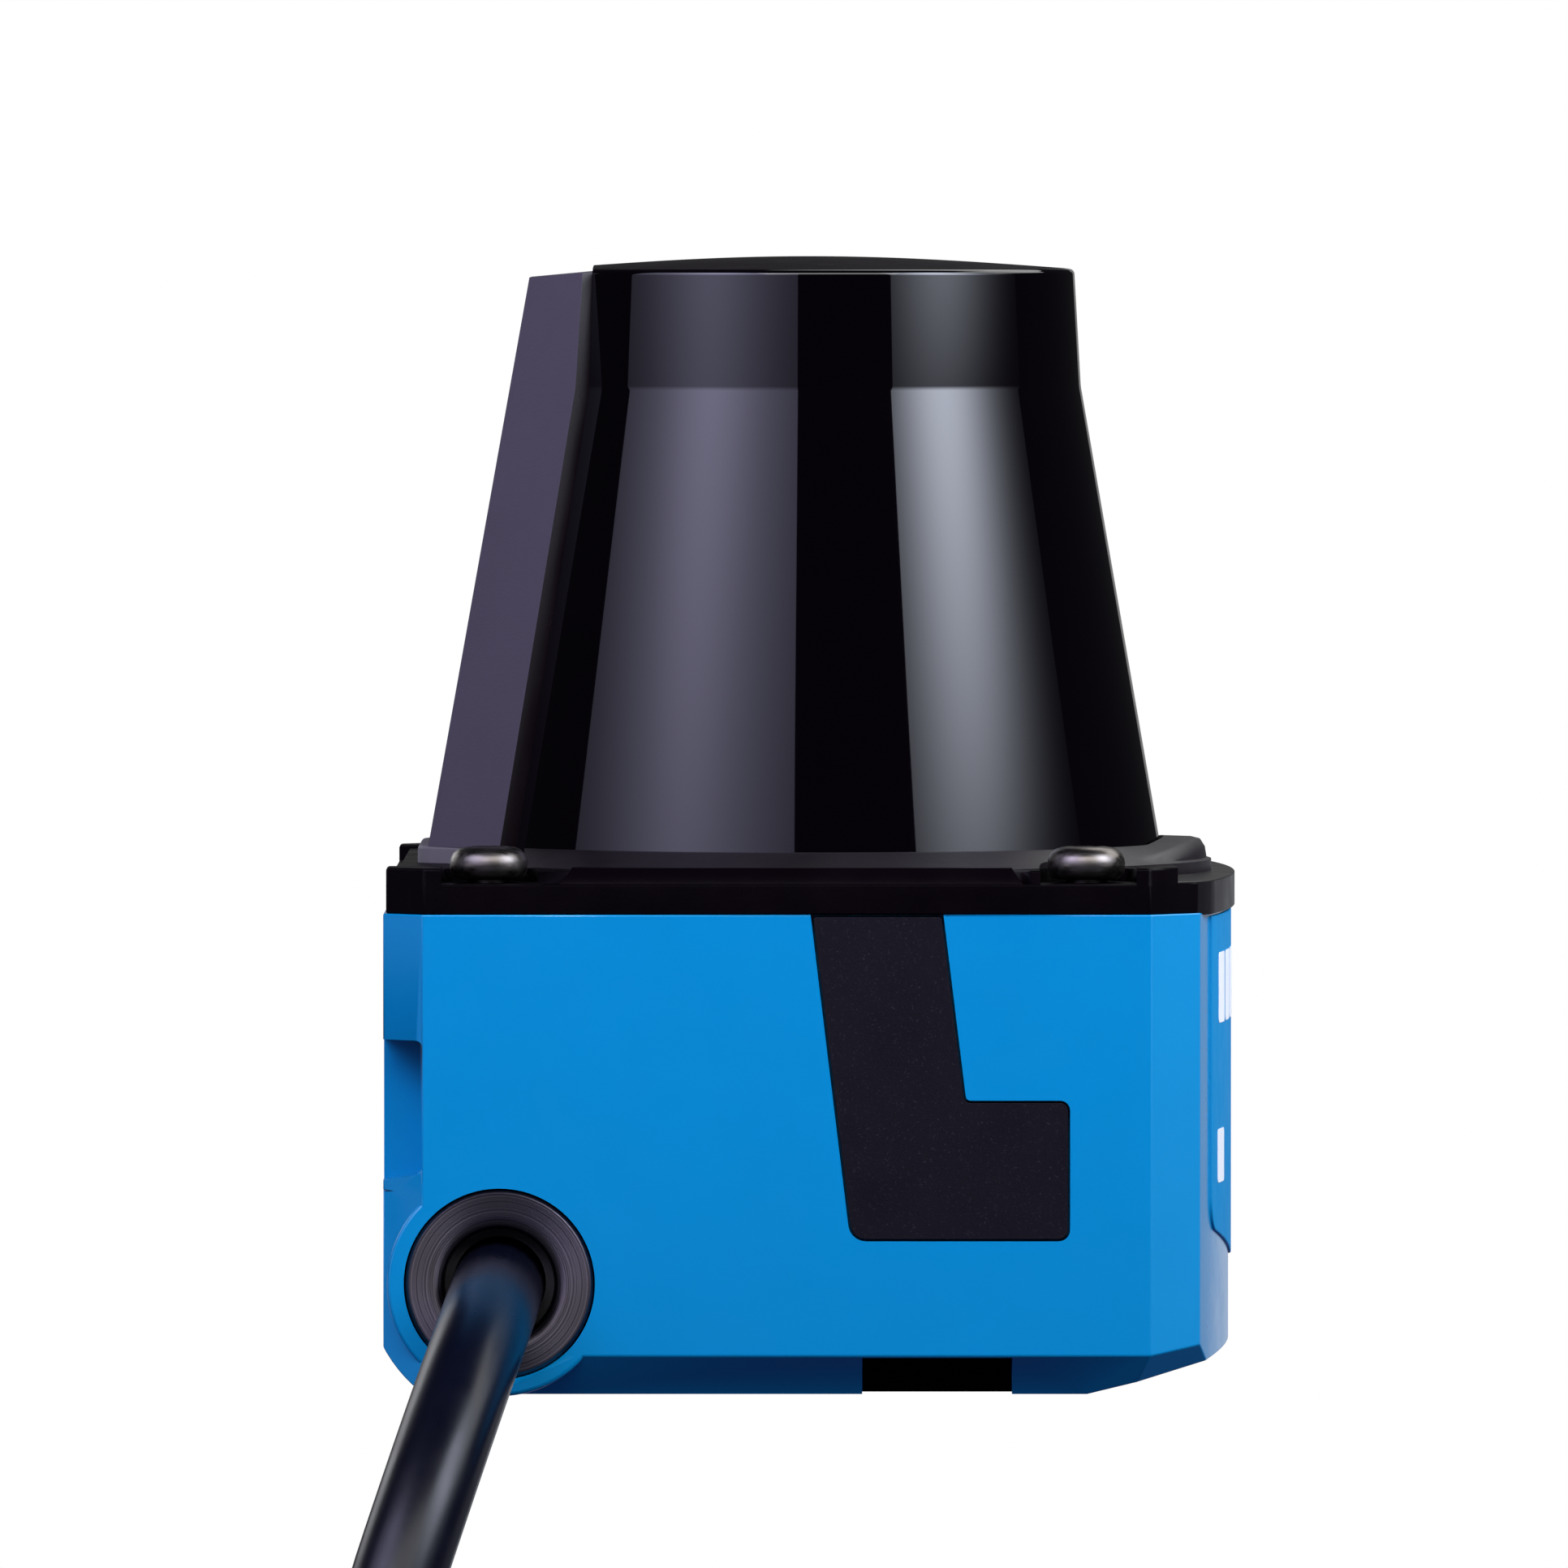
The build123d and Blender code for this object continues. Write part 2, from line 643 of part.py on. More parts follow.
# --- Receiver head, carried by the spine -------------------------------------------------------
with BuildPart() as receiver_holder:
    with BuildSketch(Plane.XY.offset(HEAD_Z)):
        Circle(11.5)
        Circle(9.0, mode=Mode.SUBTRACT)
    extrude(amount=9.0)
    with Locations((-14.6, 0, HEAD_Z + 6.0)):
        Box(8.0, 10.0, 4.0)
    with BuildSketch(Plane.XY.offset(HEAD_Z)):
        Circle(17.4)
    extrude(amount=10, mode=Mode.INTERSECT)
    with BuildSketch(Plane.XY.offset(HEAD_Z)):
        Circle(9.0)
    extrude(amount=9, mode=Mode.SUBTRACT)
save(receiver_holder, "receiver_holder")

with BuildPart() as receiver_lens:
    with BuildSketch(Plane.XY.offset(HEAD_Z + 0.4)):
        Circle(9.0)
        Circle(2.8, mode=Mode.SUBTRACT)
    extrude(amount=3.0)
save(receiver_lens, "receiver_lens")

with BuildPart() as laser_module:
    with BuildSketch(Plane.XY.offset(HEAD_Z + 0.4)):
        Circle(2.8)
        Circle(1.6, mode=Mode.SUBTRACT)
    extrude(amount=5.2)
    with BuildSketch(Plane.XY.offset(HEAD_Z + 5.6)):
        Circle(2.8)
    extrude(amount=1.0)
save(laser_module, "laser_module")

with BuildPart() as collimator_lens:
    with BuildSketch(Plane.XY.offset(HEAD_Z + 0.6)):
        Circle(1.6)
    extrude(amount=1.2)
save(collimator_lens, "collimator_lens")

with BuildPart() as receiver_board:
    with BuildSketch(Plane.XY.offset(HEAD_Z + 9.0)):
        Circle(11.5)
    extrude(amount=1.2)
save(receiver_board, "receiver_board")

with BuildPart() as photodiode:
    with Locations((0, 0, HEAD_Z + 7.8)):
        Box(4.0, 4.0, 2.4)
save(photodiode, "photodiode")

with BuildPart() as ribbon_cable:
    with BuildSketch(Plane.XZ.offset(-4)):
        with BuildLine():
            Polyline(
                (-19.4, CHASSIS_TOP + 0.2),
                (-19.1, CHASSIS_TOP + 0.2),
                (-19.1, 40.0),
                (-13.8, HEAD_Z + 2.2),
                (-11.9, HEAD_Z + 2.2),
                (-11.9, HEAD_Z + 2.5),
                (-14.1, HEAD_Z + 2.5),
                (-19.4, 40.1),
                close=True,
            )
        make_face()
    extrude(amount=8)
save(ribbon_cable, "ribbon_cable")

# --- Rotor -------------------------------------------------------------------------------------
with BuildPart() as rotor_hub:
    with BuildSketch(Plane.XY.offset(BEARING_ZS[0] - 0.6)):
        Circle(SHAFT_R)
    extrude(amount=CUP_TOP - BEARING_ZS[0] + 0.6)
    with BuildSketch(Plane.XY.offset(CUP_TOP - 2)):
        Circle(CUP_R)
    extrude(amount=2)
    with BuildSketch(Plane.XY.offset(STATOR_Z + 0.4)):
        Circle(CUP_R)
        Circle(CUP_R - 1.2, mode=Mode.SUBTRACT)
    extrude(amount=CUP_TOP - STATOR_Z - 1)
save(rotor_hub, "rotor_hub")

with BuildPart() as bearing_inner_rings:
    for z in BEARING_ZS:
        with BuildSketch(Plane.XY.offset(z)):
            Circle(3.0 - RUNNING_GAP)
            Circle(SHAFT_R, mode=Mode.SUBTRACT)
        extrude(amount=BEARING_H)
save(bearing_inner_rings, "bearing_inner_rings")

with BuildPart() as magnet_ring:
    with BuildSketch(Plane.XY.offset(STATOR_Z + 0.4)):
        Circle(CUP_R - 1.2)
        Circle(10.6, mode=Mode.SUBTRACT)
    extrude(amount=STATOR_H)
save(magnet_ring, "magnet_ring")

with BuildPart() as encoder_disc:
    with BuildSketch(Plane.XY.offset(40.0)):
        Circle(16.8)
        Circle(CUP_R, mode=Mode.SUBTRACT)
        with PolarLocations(15.7, 36):
            Rectangle(1.2, 0.9, mode=Mode.SUBTRACT)
    extrude(amount=0.6)
save(encoder_disc, "encoder_disc")

MIRROR_PLANE = Plane(origin=(0, 0, MIRROR_Z), x_dir=(0, 1, 0), z_dir=(1, 0, 1))

with BuildPart() as mirror_carrier:
    with BuildSketch(Plane.XY.offset(CUP_TOP)):
        Circle(MIRROR_R)
    extrude(amount=30)
    split(bisect_by=MIRROR_PLANE, keep=Keep.BOTTOM)
save(mirror_carrier, "mirror_carrier")

with BuildPart() as receiving_mirror:
    with BuildSketch(Plane.XY.offset(CUP_TOP - 5)):
        Circle(MIRROR_R)
    extrude(amount=40)
    split(bisect_by=MIRROR_PLANE, keep=Keep.TOP)
    split(bisect_by=MIRROR_PLANE.offset(MIRROR_T), keep=Keep.BOTTOM)
save(receiving_mirror, "receiving_mirror")

with BuildPart() as emitter_mirror:
    with BuildSketch(MIRROR_PLANE.offset(MIRROR_T)):
        Circle(2.2)
    extrude(amount=0.8)
save(emitter_mirror, "emitter_mirror")

with BuildPart() as balance_weight:
    with BuildSketch(Plane.XY.offset(CUP_TOP)):
        Circle(12.8)
        Circle(MIRROR_R + 0.2, mode=Mode.SUBTRACT)
        with Locations((-11, 0)):
            Rectangle(34, 30, mode=Mode.SUBTRACT)
    extrude(amount=3.5)
save(balance_weight, "balance_weight")

with BuildPart() as rotor_screws:
    with BuildSketch(Plane.XY.offset(CUP_TOP - 3)):
        with PolarLocations(7.0, 3):
            Circle(1.6)
    extrude(amount=1.0)
save(rotor_screws, "rotor_screws")

# --- Cable, coil and plug ----------------------------------------------------------------------


def corner_radii(points):
    """One radius for each corner: 0.45 of the shorter run over the tangent of half the turn."""
    radii = []
    for before, corner, after in zip(points, points[1:], points[2:]):
        run_in = Vector(*corner) - Vector(*before)
        run_out = Vector(*after) - Vector(*corner)
        half_turn = math.radians(run_in.get_angle(run_out)) / 2
        radii.append(0.45 * min(run_in.length, run_out.length) / math.tan(half_turn))
    return radii


lead_radii = corner_radii(LEAD_POINTS)
print("cable arc radii:", [round(r, 1) for r in lead_radii])

with BuildPart() as cable:
    with BuildLine() as lead_line:
        FilletPolyline(*LEAD_POINTS, radius=lead_radii)
    with BuildSketch(Plane(origin=CABLE_START, x_dir=(1, 0, 0), z_dir=(0, -1, 0))):
        Circle(CABLE_R)
    sweep(path=lead_line.line)
lead_length = sum(edge.length for edge in lead_line.edges())
print("lead length:", round(lead_length, 1))
print("volume over section times length:", cable.part.volume / (math.pi * CABLE_R**2 * lead_length))
save(cable, "cable")

with BuildPart() as cable_coil:
    with BuildSketch(Plane.XY.offset(COIL_Z)):
        with Locations((COIL_X + COIL_R, COIL_Y)):
            RectangleRounded(2 * CABLE_D, 2 * CABLE_D, CABLE_R - 0.05)
    revolve(axis=Axis((COIL_X, COIL_Y, COIL_Z), (0, 1, 0)))
save(cable_coil, "cable_coil")

with BuildPart() as cable_tail:
    with BuildSketch(Plane.XY.offset(COIL_Z)):
        with Locations((TAIL_X, TAIL_Y)):
            Circle(CABLE_R)
    extrude(amount=PLUG_TOP - COIL_Z)
save(cable_tail, "cable_tail")

with BuildPart() as coil_tie:
    with BuildSketch(Plane.XY.offset(COIL_Z - 3)):
        with Locations((COIL_X - COIL_R, COIL_Y)):
            RectangleRounded(2 * CABLE_D + 2.0, 2 * CABLE_D + 2.0, CABLE_R)
            RectangleRounded(2 * CABLE_D + 0.4, 2 * CABLE_D + 0.4, CABLE_R - 0.05, mode=Mode.SUBTRACT)
    extrude(amount=6)
save(coil_tie, "coil_tie")

with BuildPart() as plug_strain_relief:
    with BuildSketch(Plane.XY.offset(PLUG_TOP)):
        with Locations((TAIL_X, TAIL_Y)):
            Circle(4.1)
    with BuildSketch(Plane.XY.offset(PLUG_TOP - RELIEF_H)):
        with Locations((TAIL_X, TAIL_Y)):
            Circle(5.6)
    loft()
save(plug_strain_relief, "plug_strain_relief")

BODY_TOP = PLUG_TOP - RELIEF_H
NUT_TOP = BODY_TOP - PLUG_BODY_H + 2.5

with BuildPart() as plug_body:
    with BuildSketch(Plane.XY.offset(BODY_TOP)):
        with Locations((TAIL_X, TAIL_Y)):
            Circle(6.9)
    extrude(amount=-PLUG_BODY_H + 3.0)
    with BuildSketch(Plane.XY.offset(BODY_TOP - PLUG_BODY_H + 3.0)):
        with Locations((TAIL_X, TAIL_Y)):
            Circle(5.0)
    extrude(amount=-3.0)
save(plug_body, "plug_body")

with BuildPart() as plug_insert:
    with BuildSketch(Plane.XY.offset(BODY_TOP - PLUG_BODY_H)):
        with Locations((TAIL_X, TAIL_Y)):
            Circle(4.6)
    extrude(amount=-2.0)
save(plug_insert, "plug_insert")

with BuildPart() as plug_pins:
    with BuildSketch(Plane.XY.offset(BODY_TOP - PLUG_BODY_H - 2.0)):
        with Locations((TAIL_X, TAIL_Y)):
            with PolarLocations(2.75, 7):
                Circle(0.4)
    extrude(amount=-6.0)
save(plug_pins, "plug_pins")

with BuildPart() as coupling_nut:
    with BuildSketch(Plane.XY.offset(NUT_TOP)):
        with Locations((TAIL_X, TAIL_Y)):
            Circle(7.3)
            Circle(5.0 + RUNNING_GAP, mode=Mode.SUBTRACT)
    extrude(amount=-2.0)
    with BuildSketch(Plane.XY.offset(NUT_TOP - 2.0)):
        with Locations((TAIL_X, TAIL_Y)):
            Circle(7.3)
            Circle(5.5, mode=Mode.SUBTRACT)
    extrude(amount=-NUT_H + 2.0)
save(coupling_nut, "coupling_nut")
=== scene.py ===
"""The looks of the compact laser scanner: detailed shells, window, screws, cable and materials.

Pieces are drawn in millimetres in the row frame (+X front, +Z up, the cable on the -Y side) and scaled to
metres when their mesh is made. The camera looks along +Y.
"""

import math

import bmesh
import bpy
from mathutils import Matrix, Vector


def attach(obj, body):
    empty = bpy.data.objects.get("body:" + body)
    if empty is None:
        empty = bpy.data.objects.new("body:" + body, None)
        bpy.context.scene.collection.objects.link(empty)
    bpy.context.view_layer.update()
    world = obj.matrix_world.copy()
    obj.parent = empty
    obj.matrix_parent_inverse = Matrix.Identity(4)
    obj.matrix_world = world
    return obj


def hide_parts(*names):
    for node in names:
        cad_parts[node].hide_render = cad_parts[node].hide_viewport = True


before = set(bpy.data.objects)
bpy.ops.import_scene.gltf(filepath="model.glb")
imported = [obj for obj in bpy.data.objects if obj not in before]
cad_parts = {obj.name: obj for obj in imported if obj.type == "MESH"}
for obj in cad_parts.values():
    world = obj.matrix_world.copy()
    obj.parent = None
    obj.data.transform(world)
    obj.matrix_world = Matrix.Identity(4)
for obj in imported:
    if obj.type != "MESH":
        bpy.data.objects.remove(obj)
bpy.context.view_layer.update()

MM = 0.001

# ---- Sizes in millimetres, the same as the CAD model's ----------------------------------------
REAR_X = -30.0
SIDE_Y = 30.0
HOUSING_TOP = 33.85
REAR_CHAMFER = 2.8
FACET_START = (24.0, 30.0)  # x and y where a slanted front corner leaves the side
FACET_END = (27.5, 26.3)  # and where it meets the bowed front
BOW_R = 139.6  # radius of the bowed front, seen from above
BOW_X = 30.0 - BOW_R
BASE_CHAMFER = 2.85
WALL = 3.0
FLOOR = 3.6
GLAND = (-21.8, 7.9)  # x and z of the cable outlet's axis
GLAND_R = 6.6
GLAND_LIP_R = 3.85
GLAND_BOSS_R = 7.9
CONE_FOOT = (25.1, 38.2)  # the hood's profile: radius and height
KINK = (19.45, 70.7)
RIM = (19.0, 79.1)
DOME_Z = 80.0
HOOD_WALL = 1.6
CEILING_Z = 78.2
WINDOW_SEAT = 36.0
SCREW_XS = (-22.6, 19.5)
SCREW_Y = 24.5
SCREW_SEAT = 36.2
CABLE_D = 6.5
COIL_X, COIL_Y, COIL_Z = 6.0, -67.5, -56.25
COIL_R = 11 * CABLE_D / 2
TAIL = (COIL_X - COIL_R - CABLE_D / 2, COIL_Y - CABLE_D / 2)
PLUG_TOP = -84.0


# ---- Shape helpers ----------------------------------------------------------------------------


def piece_from(name, shape):
    """Makes an object from a bmesh."""
    mesh = bpy.data.meshes.new(name)
    shape.to_mesh(mesh)
    shape.free()
    piece = bpy.data.objects.new(name, mesh)
    bpy.context.scene.collection.objects.link(piece)
    return piece


def drop(piece):
    """Removes a helper object and its mesh."""
    mesh = piece.data
    bpy.data.objects.remove(piece)
    bpy.data.meshes.remove(mesh)


def prism(outline, low, high, plane="XY", name="solid"):
    """A straight solid: an outline in one plane, from low to high along the third axis."""
    place = {
        "XY": lambda a, b, h: (a, b, h),
        "XZ": lambda a, b, h: (a, h, b),
        "YZ": lambda a, b, h: (h, a, b),
    }[plane]
    shape = bmesh.new()
    rings = [[shape.verts.new(Vector(place(a, b, h)) * MM) for a, b in outline] for h in (low, high)]
    shape.faces.new(rings[0])
    shape.faces.new(rings[1])
    for k in range(len(outline)):
        j = (k + 1) % len(outline)
        shape.faces.new((rings[0][k], rings[0][j], rings[1][j], rings[1][k]))
    bmesh.ops.recalc_face_normals(shape, faces=shape.faces)
    return piece_from(name, shape)


def loft(rings, name="solid"):
    """A solid through rings of points, given in order, with flat ends."""
    shape = bmesh.new()
    made = [[shape.verts.new(Vector(p) * MM) for p in ring] for ring in rings]
    shape.faces.new(made[0])
    shape.faces.new(made[-1])
    for below, above in zip(made, made[1:]):
        for k in range(len(below)):
            j = (k + 1) % len(below)
            shape.faces.new((below[k], below[j], above[j], above[k]))
    bmesh.ops.recalc_face_normals(shape, faces=shape.faces)
    return piece_from(name, shape)


def hull(points, name="solid"):
    """The smallest solid round some points."""
    shape = bmesh.new()
    for p in points:
        shape.verts.new(Vector(p) * MM)
    bmesh.ops.convex_hull(shape, input=shape.verts)
    bmesh.ops.dissolve_limit(shape, angle_limit=0.01, verts=shape.verts, edges=shape.edges)
    bmesh.ops.recalc_face_normals(shape, faces=shape.faces)
    return piece_from(name, shape)


def lathe(profile, centre=(0, 0, 0), axis="Z", steps=192, name="solid", ripple=None):
    """A turned solid: a closed profile of (radius, height), spun about an axis through centre."""
    shape = bmesh.new()
    rings = []
    for k in range(steps):
        angle = 2 * math.pi * k / steps
        ring = []
        for radius, height in profile:
            grown = radius + (ripple(angle, height) if ripple and radius > 0 else 0)
            a, b = grown * math.cos(angle), grown * math.sin(angle)
            spot = (a, b, height) if axis == "Z" else (a, -height, b)
            ring.append(shape.verts.new((Vector(centre) + Vector(spot)) * MM))
        rings.append(ring)
    for k in range(steps):
        here, there = rings[k], rings[(k + 1) % steps]
        for j in range(len(profile)):
            n = (j + 1) % len(profile)
            if profile[j][0] == 0 and profile[n][0] == 0:
                continue
            shape.faces.new((here[j], here[n], there[n], there[j]))
    bmesh.ops.remove_doubles(shape, verts=shape.verts, dist=1e-7)
    bmesh.ops.recalc_face_normals(shape, faces=shape.faces)
    return piece_from(name, shape)


def settle(piece):
    """Applies a piece's modifiers."""
    bpy.context.view_layer.update()
    ready = piece.evaluated_get(bpy.context.evaluated_depsgraph_get())
    mesh = bpy.data.meshes.new_from_object(ready)
    old = piece.data
    piece.modifiers.clear()
    piece.data = mesh
    bpy.data.meshes.remove(old)
    return piece


def combine(piece, others, how):
    """Cuts other solids from a piece, joins them to it, or keeps what they share."""
    for other in others:
        step = piece.modifiers.new("combine", "BOOLEAN")
        step.operation = how
        step.solver = "EXACT"
        step.object = other
        settle(piece)
        drop(other)
    return piece


def soften(piece, width, segments=3, angle=28, sharp=35):
    """Rounds a piece's edges and smooths its shading."""
    shape = bmesh.new()
    shape.from_mesh(piece.data)
    bmesh.ops.remove_doubles(shape, verts=shape.verts, dist=2e-6)
    bmesh.ops.dissolve_limit(
        shape, angle_limit=math.radians(0.4), verts=shape.verts, edges=shape.edges, delimit={"NORMAL"}
    )
    shape.to_mesh(piece.data)
    shape.free()
    if width:
        step = piece.modifiers.new("bevel", "BEVEL")
        step.width = width * MM
        step.segments = segments
        step.limit_method = "ANGLE"
        step.angle_limit = math.radians(angle)
        step.use_clamp_overlap = True
        step.harden_normals = False
        step.miter_outer = "MITER_ARC"
        settle(piece)
    smooth(piece, sharp)
    return piece


def smooth(piece, sharp=35):
    """Smooth shading, with real corners kept crisp and large flat faces kept flat."""
    piece.data.shade_smooth()
    piece.data.set_sharp_from_angle(angle=math.radians(sharp))
    step = piece.modifiers.new("normals", "WEIGHTED_NORMAL")
    step.keep_sharp = True
    step.weight = 80
    settle(piece)


def rounded(points, radius, steps=5):
    """An outline with its corners rounded. radius is one number or one for each corner."""
    radii = radius if isinstance(radius, (list, tuple)) else [radius] * len(points)
    outline = []
    for k, (x, y) in enumerate(points):
        here = Vector((x, y))
        before = (Vector(points[k - 1]) - here).normalized()
        after = (Vector(points[(k + 1) % len(points)]) - here).normalized()
        half = before.angle(after) / 2
        if radii[k] <= 0 or half > math.radians(89.5):
            outline.append((x, y))
            continue
        centre = here + (before + after).normalized() * radii[k] / math.sin(half)
        start = here + before * radii[k] / math.tan(half) - centre
        end = here + after * radii[k] / math.tan(half) - centre
        turn = start.angle_signed(end)
        for j in range(steps + 1):
            spot = centre + Matrix.Rotation(-turn * j / steps, 2) @ start
            outline.append((spot.x, spot.y))
    return outline


def inset(points, amount):
    """An outline moved inwards by an amount. The points run anticlockwise."""
    moved = []
    count = len(points)
    for k in range(count):
        a, b, c = (Vector(points[(k + d) % count]) for d in (-1, 0, 1))
        first = (b - a).normalized()
        second = (c - b).normalized()
        first_in = Vector((-first.y, first.x))
        second_in = Vector((-second.y, second.x))
        middle = (first_in + second_in).normalized()
        spot = b + middle * amount / max(middle.dot(first_in), 0.2)
        moved.append((spot.x, spot.y))
    return moved


def circle(centre, radius, steps=64):
    """A round outline."""
    return [
        (
            centre[0] + radius * math.cos(2 * math.pi * k / steps),
            centre[1] + radius * math.sin(2 * math.pi * k / steps),
        )
        for k in range(steps)
    ]


def bow(y, proud=0.0):
    """The bowed front's x at a y."""
    return BOW_X + math.sqrt((BOW_R + proud) ** 2 - y * y)


def plan(steps=28):
    """The housing seen from above, anticlockwise."""
    reach = FACET_END[1]
    front = [(bow(y), y) for y in (-reach + 2 * reach * k / steps for k in range(steps + 1))]
    return [
        (REAR_X + REAR_CHAMFER, -SIDE_Y),
        (FACET_START[0], -SIDE_Y),
        *front,
        (FACET_START[0], SIDE_Y),
        (REAR_X + REAR_CHAMFER, SIDE_Y),
        (REAR_X, SIDE_Y - REAR_CHAMFER),
        (REAR_X, -SIDE_Y + REAR_CHAMFER),
    ]


def cone_radius(z, less=0.0):
    """The hood's outer radius at a height, less an amount."""
    low, high = (CONE_FOOT, KINK) if z <= KINK[1] else (KINK, RIM)
    share = (z - low[1]) / (high[1] - low[1])
    return low[0] + (high[0] - low[0]) * share - less


def slab(x0, x1, y0, y1, z0, z1):
    """A plain block, used to cut or to join."""
    return prism([(x0, y0), (x1, y0), (x1, y1), (x0, y1)], z0, z1)


# ---- Material helpers -------------------------------------------------------------------------


class Shader:
    """A short way to write a node material."""

    def __init__(self, name):
        self.material = bpy.data.materials.new(name)
        self.material.use_nodes = True
        self.tree = self.material.node_tree
        self.surface = self.tree.nodes["Principled BSDF"]
        self.place = self.node("ShaderNodeTexCoord").outputs["Object"]

    def node(self, kind, **settings):
        """Adds a node with some of its settings."""
        made = self.tree.nodes.new(kind)
        for key, value in settings.items():
            setattr(made, key, value)
        return made

    def link(self, source, target):
        self.tree.links.new(source, target)

    def set(self, **values):
        """Sets sockets of the surface to constant values."""
        for key, value in values.items():
            self.surface.inputs[key.replace("_", " ")].default_value = value

    def noise(self, size_mm, detail=3.0, rough=0.55, stretch=None):
        """Noise whose features are about size_mm across."""
        texture = self.node("ShaderNodeTexNoise")
        texture.inputs["Scale"].default_value = 1.0 / (size_mm * MM)
        texture.inputs["Detail"].default_value = detail
        texture.inputs["Roughness"].default_value = rough
        place = self.place
        if stretch:
            mapping = self.node("ShaderNodeMapping")
            mapping.inputs["Scale"].default_value = stretch
            self.link(place, mapping.inputs["Vector"])
            place = mapping.outputs["Vector"]
        self.link(place, texture.inputs["Vector"])
        return texture.outputs["Fac"]

    def ranged(self, value, low, high, from_low=0.3, from_high=0.7):
        """Stretches a value to run from low to high."""
        mapped = self.node("ShaderNodeMapRange")
        self.link(value, mapped.inputs["Value"])
        mapped.inputs["From Min"].default_value = from_low
        mapped.inputs["From Max"].default_value = from_high
        mapped.inputs["To Min"].default_value = low
        mapped.inputs["To Max"].default_value = high
        return mapped.outputs["Result"]

    def mixed(self, value, first, second):
        """A colour between two, by a value."""
        mix = self.node("ShaderNodeMix", data_type="RGBA")
        self.link(value, mix.inputs["Factor"])
        mix.inputs["A"].default_value = (*first, 1)
        mix.inputs["B"].default_value = (*second, 1)
        return mix.outputs["Result"]

    def bump(self, value, depth_mm, strength=1.0):
        """A normal that follows a value as a height."""
        made = self.node("ShaderNodeBump")
        made.inputs["Strength"].default_value = strength
        made.inputs["Distance"].default_value = depth_mm * MM
        self.link(value, made.inputs["Height"])
        return made.outputs["Normal"]


def shade(colour, amount):
    """A colour made lighter or darker."""
    return tuple(min(1.0, c * amount) for c in colour)


def plastic(name, colour, rough, grain_mm=0.0, depth_mm=0.0, spread=0.06, coat=0.0, speck=0.0, ior=1.5):
    """Moulded plastic or rubber: slight mottling, uneven gloss, and grain and specks where asked for."""
    m = Shader(name)
    m.set(IOR=ior)
    cloudy = m.noise(6.0, detail=4.0)
    base = m.mixed(m.ranged(cloudy, 0, 1), shade(colour, 1 - spread), shade(colour, 1 + spread))
    m.link(m.ranged(m.noise(3.5, detail=5.0), rough * 0.88, rough * 1.12), m.surface.inputs["Roughness"])
    if speck:
        fine = m.noise(grain_mm * 1.3, detail=2.0)
        mix = m.node("ShaderNodeMix", data_type="RGBA")
        m.link(m.ranged(fine, 0.0, speck, 0.62, 0.78), mix.inputs["Factor"])
        m.link(base, mix.inputs["A"])
        mix.inputs["B"].default_value = (0.35, 0.3, 0.36, 1)
        base = mix.outputs["Result"]
    m.link(base, m.surface.inputs["Base Color"])
    if grain_mm:
        m.link(m.bump(m.noise(grain_mm, detail=3.0), depth_mm), m.surface.inputs["Normal"])
    if coat:
        m.set(Coat_Weight=coat, Coat_Roughness=0.04)
    return m.material


def metal(name, colour, rough, scratch_mm=0.25, turned=None):
    """Metal with fine machining marks: along X, or in rings round an axis."""
    m = Shader(name)
    m.set(Metallic=1.0)
    if turned:
        centre, axis = turned
        m.set(Anisotropic=0.75)
        m.link(m.node("ShaderNodeTangent", axis=axis).outputs["Tangent"], m.surface.inputs["Tangent"])
        offset = m.node("ShaderNodeVectorMath", operation="SUBTRACT")
        m.link(m.place, offset.inputs[0])
        offset.inputs[1].default_value = Vector(centre) * MM
        flat = m.node("ShaderNodeVectorMath", operation="MULTIPLY")
        m.link(offset.outputs["Vector"], flat.inputs[0])
        flat.inputs[1].default_value = (1, 0, 1) if axis == "Y" else (1, 1, 0)
        length = m.node("ShaderNodeVectorMath", operation="LENGTH")
        m.link(flat.outputs["Vector"], length.inputs[0])
        texture = m.node("ShaderNodeTexNoise", noise_dimensions="1D")
        texture.inputs["Scale"].default_value = 1.0 / (scratch_mm * MM)
        texture.inputs["Detail"].default_value = 4.0
        m.link(length.outputs["Value"], texture.inputs["W"])
        marks = texture.outputs["Fac"]
    else:
        marks = m.noise(scratch_mm, detail=4.0, stretch=(0.08, 1.0, 1.0))
    m.link(m.ranged(marks, rough * 0.7, rough * 1.3), m.surface.inputs["Roughness"])
    base = m.mixed(m.ranged(marks, 0, 1), shade(colour, 0.85), shade(colour, 1.1))
    m.link(base, m.surface.inputs["Base Color"])
    m.link(m.bump(marks, 0.01, 0.6), m.surface.inputs["Normal"])
    return m.material


BLUE = (0.0, 0.225, 0.50)

blue_gloss = plastic("blue_gloss", BLUE, 0.22, spread=0.015, coat=0.2, ior=1.4)
blue_satin = plastic(
    "blue_satin", shade(BLUE, 1.04), 0.6, grain_mm=0.12, depth_mm=0.002, spread=0.015, ior=1.3
)
flange_black = plastic(
    "flange_black", (0.0015, 0.0006, 0.0015), 0.40, grain_mm=0.22, depth_mm=0.012, spread=0.2, ior=1.13
)
foot_black = plastic("foot_black", (0.006, 0.004, 0.006), 0.42, grain_mm=0.2, depth_mm=0.010, spread=0.15)
lobe_black = plastic(
    "lobe_black", (0.004, 0.003, 0.004), 0.36, grain_mm=0.2, depth_mm=0.010, spread=0.15, ior=1.33
)
strip_black = plastic("strip_black", (0.004, 0.0015, 0.003), 0.25, spread=0.1)
spine_black = plastic("spine_black", (0.042, 0.033, 0.052), 0.6, grain_mm=0.16, depth_mm=0.014, spread=0.05)
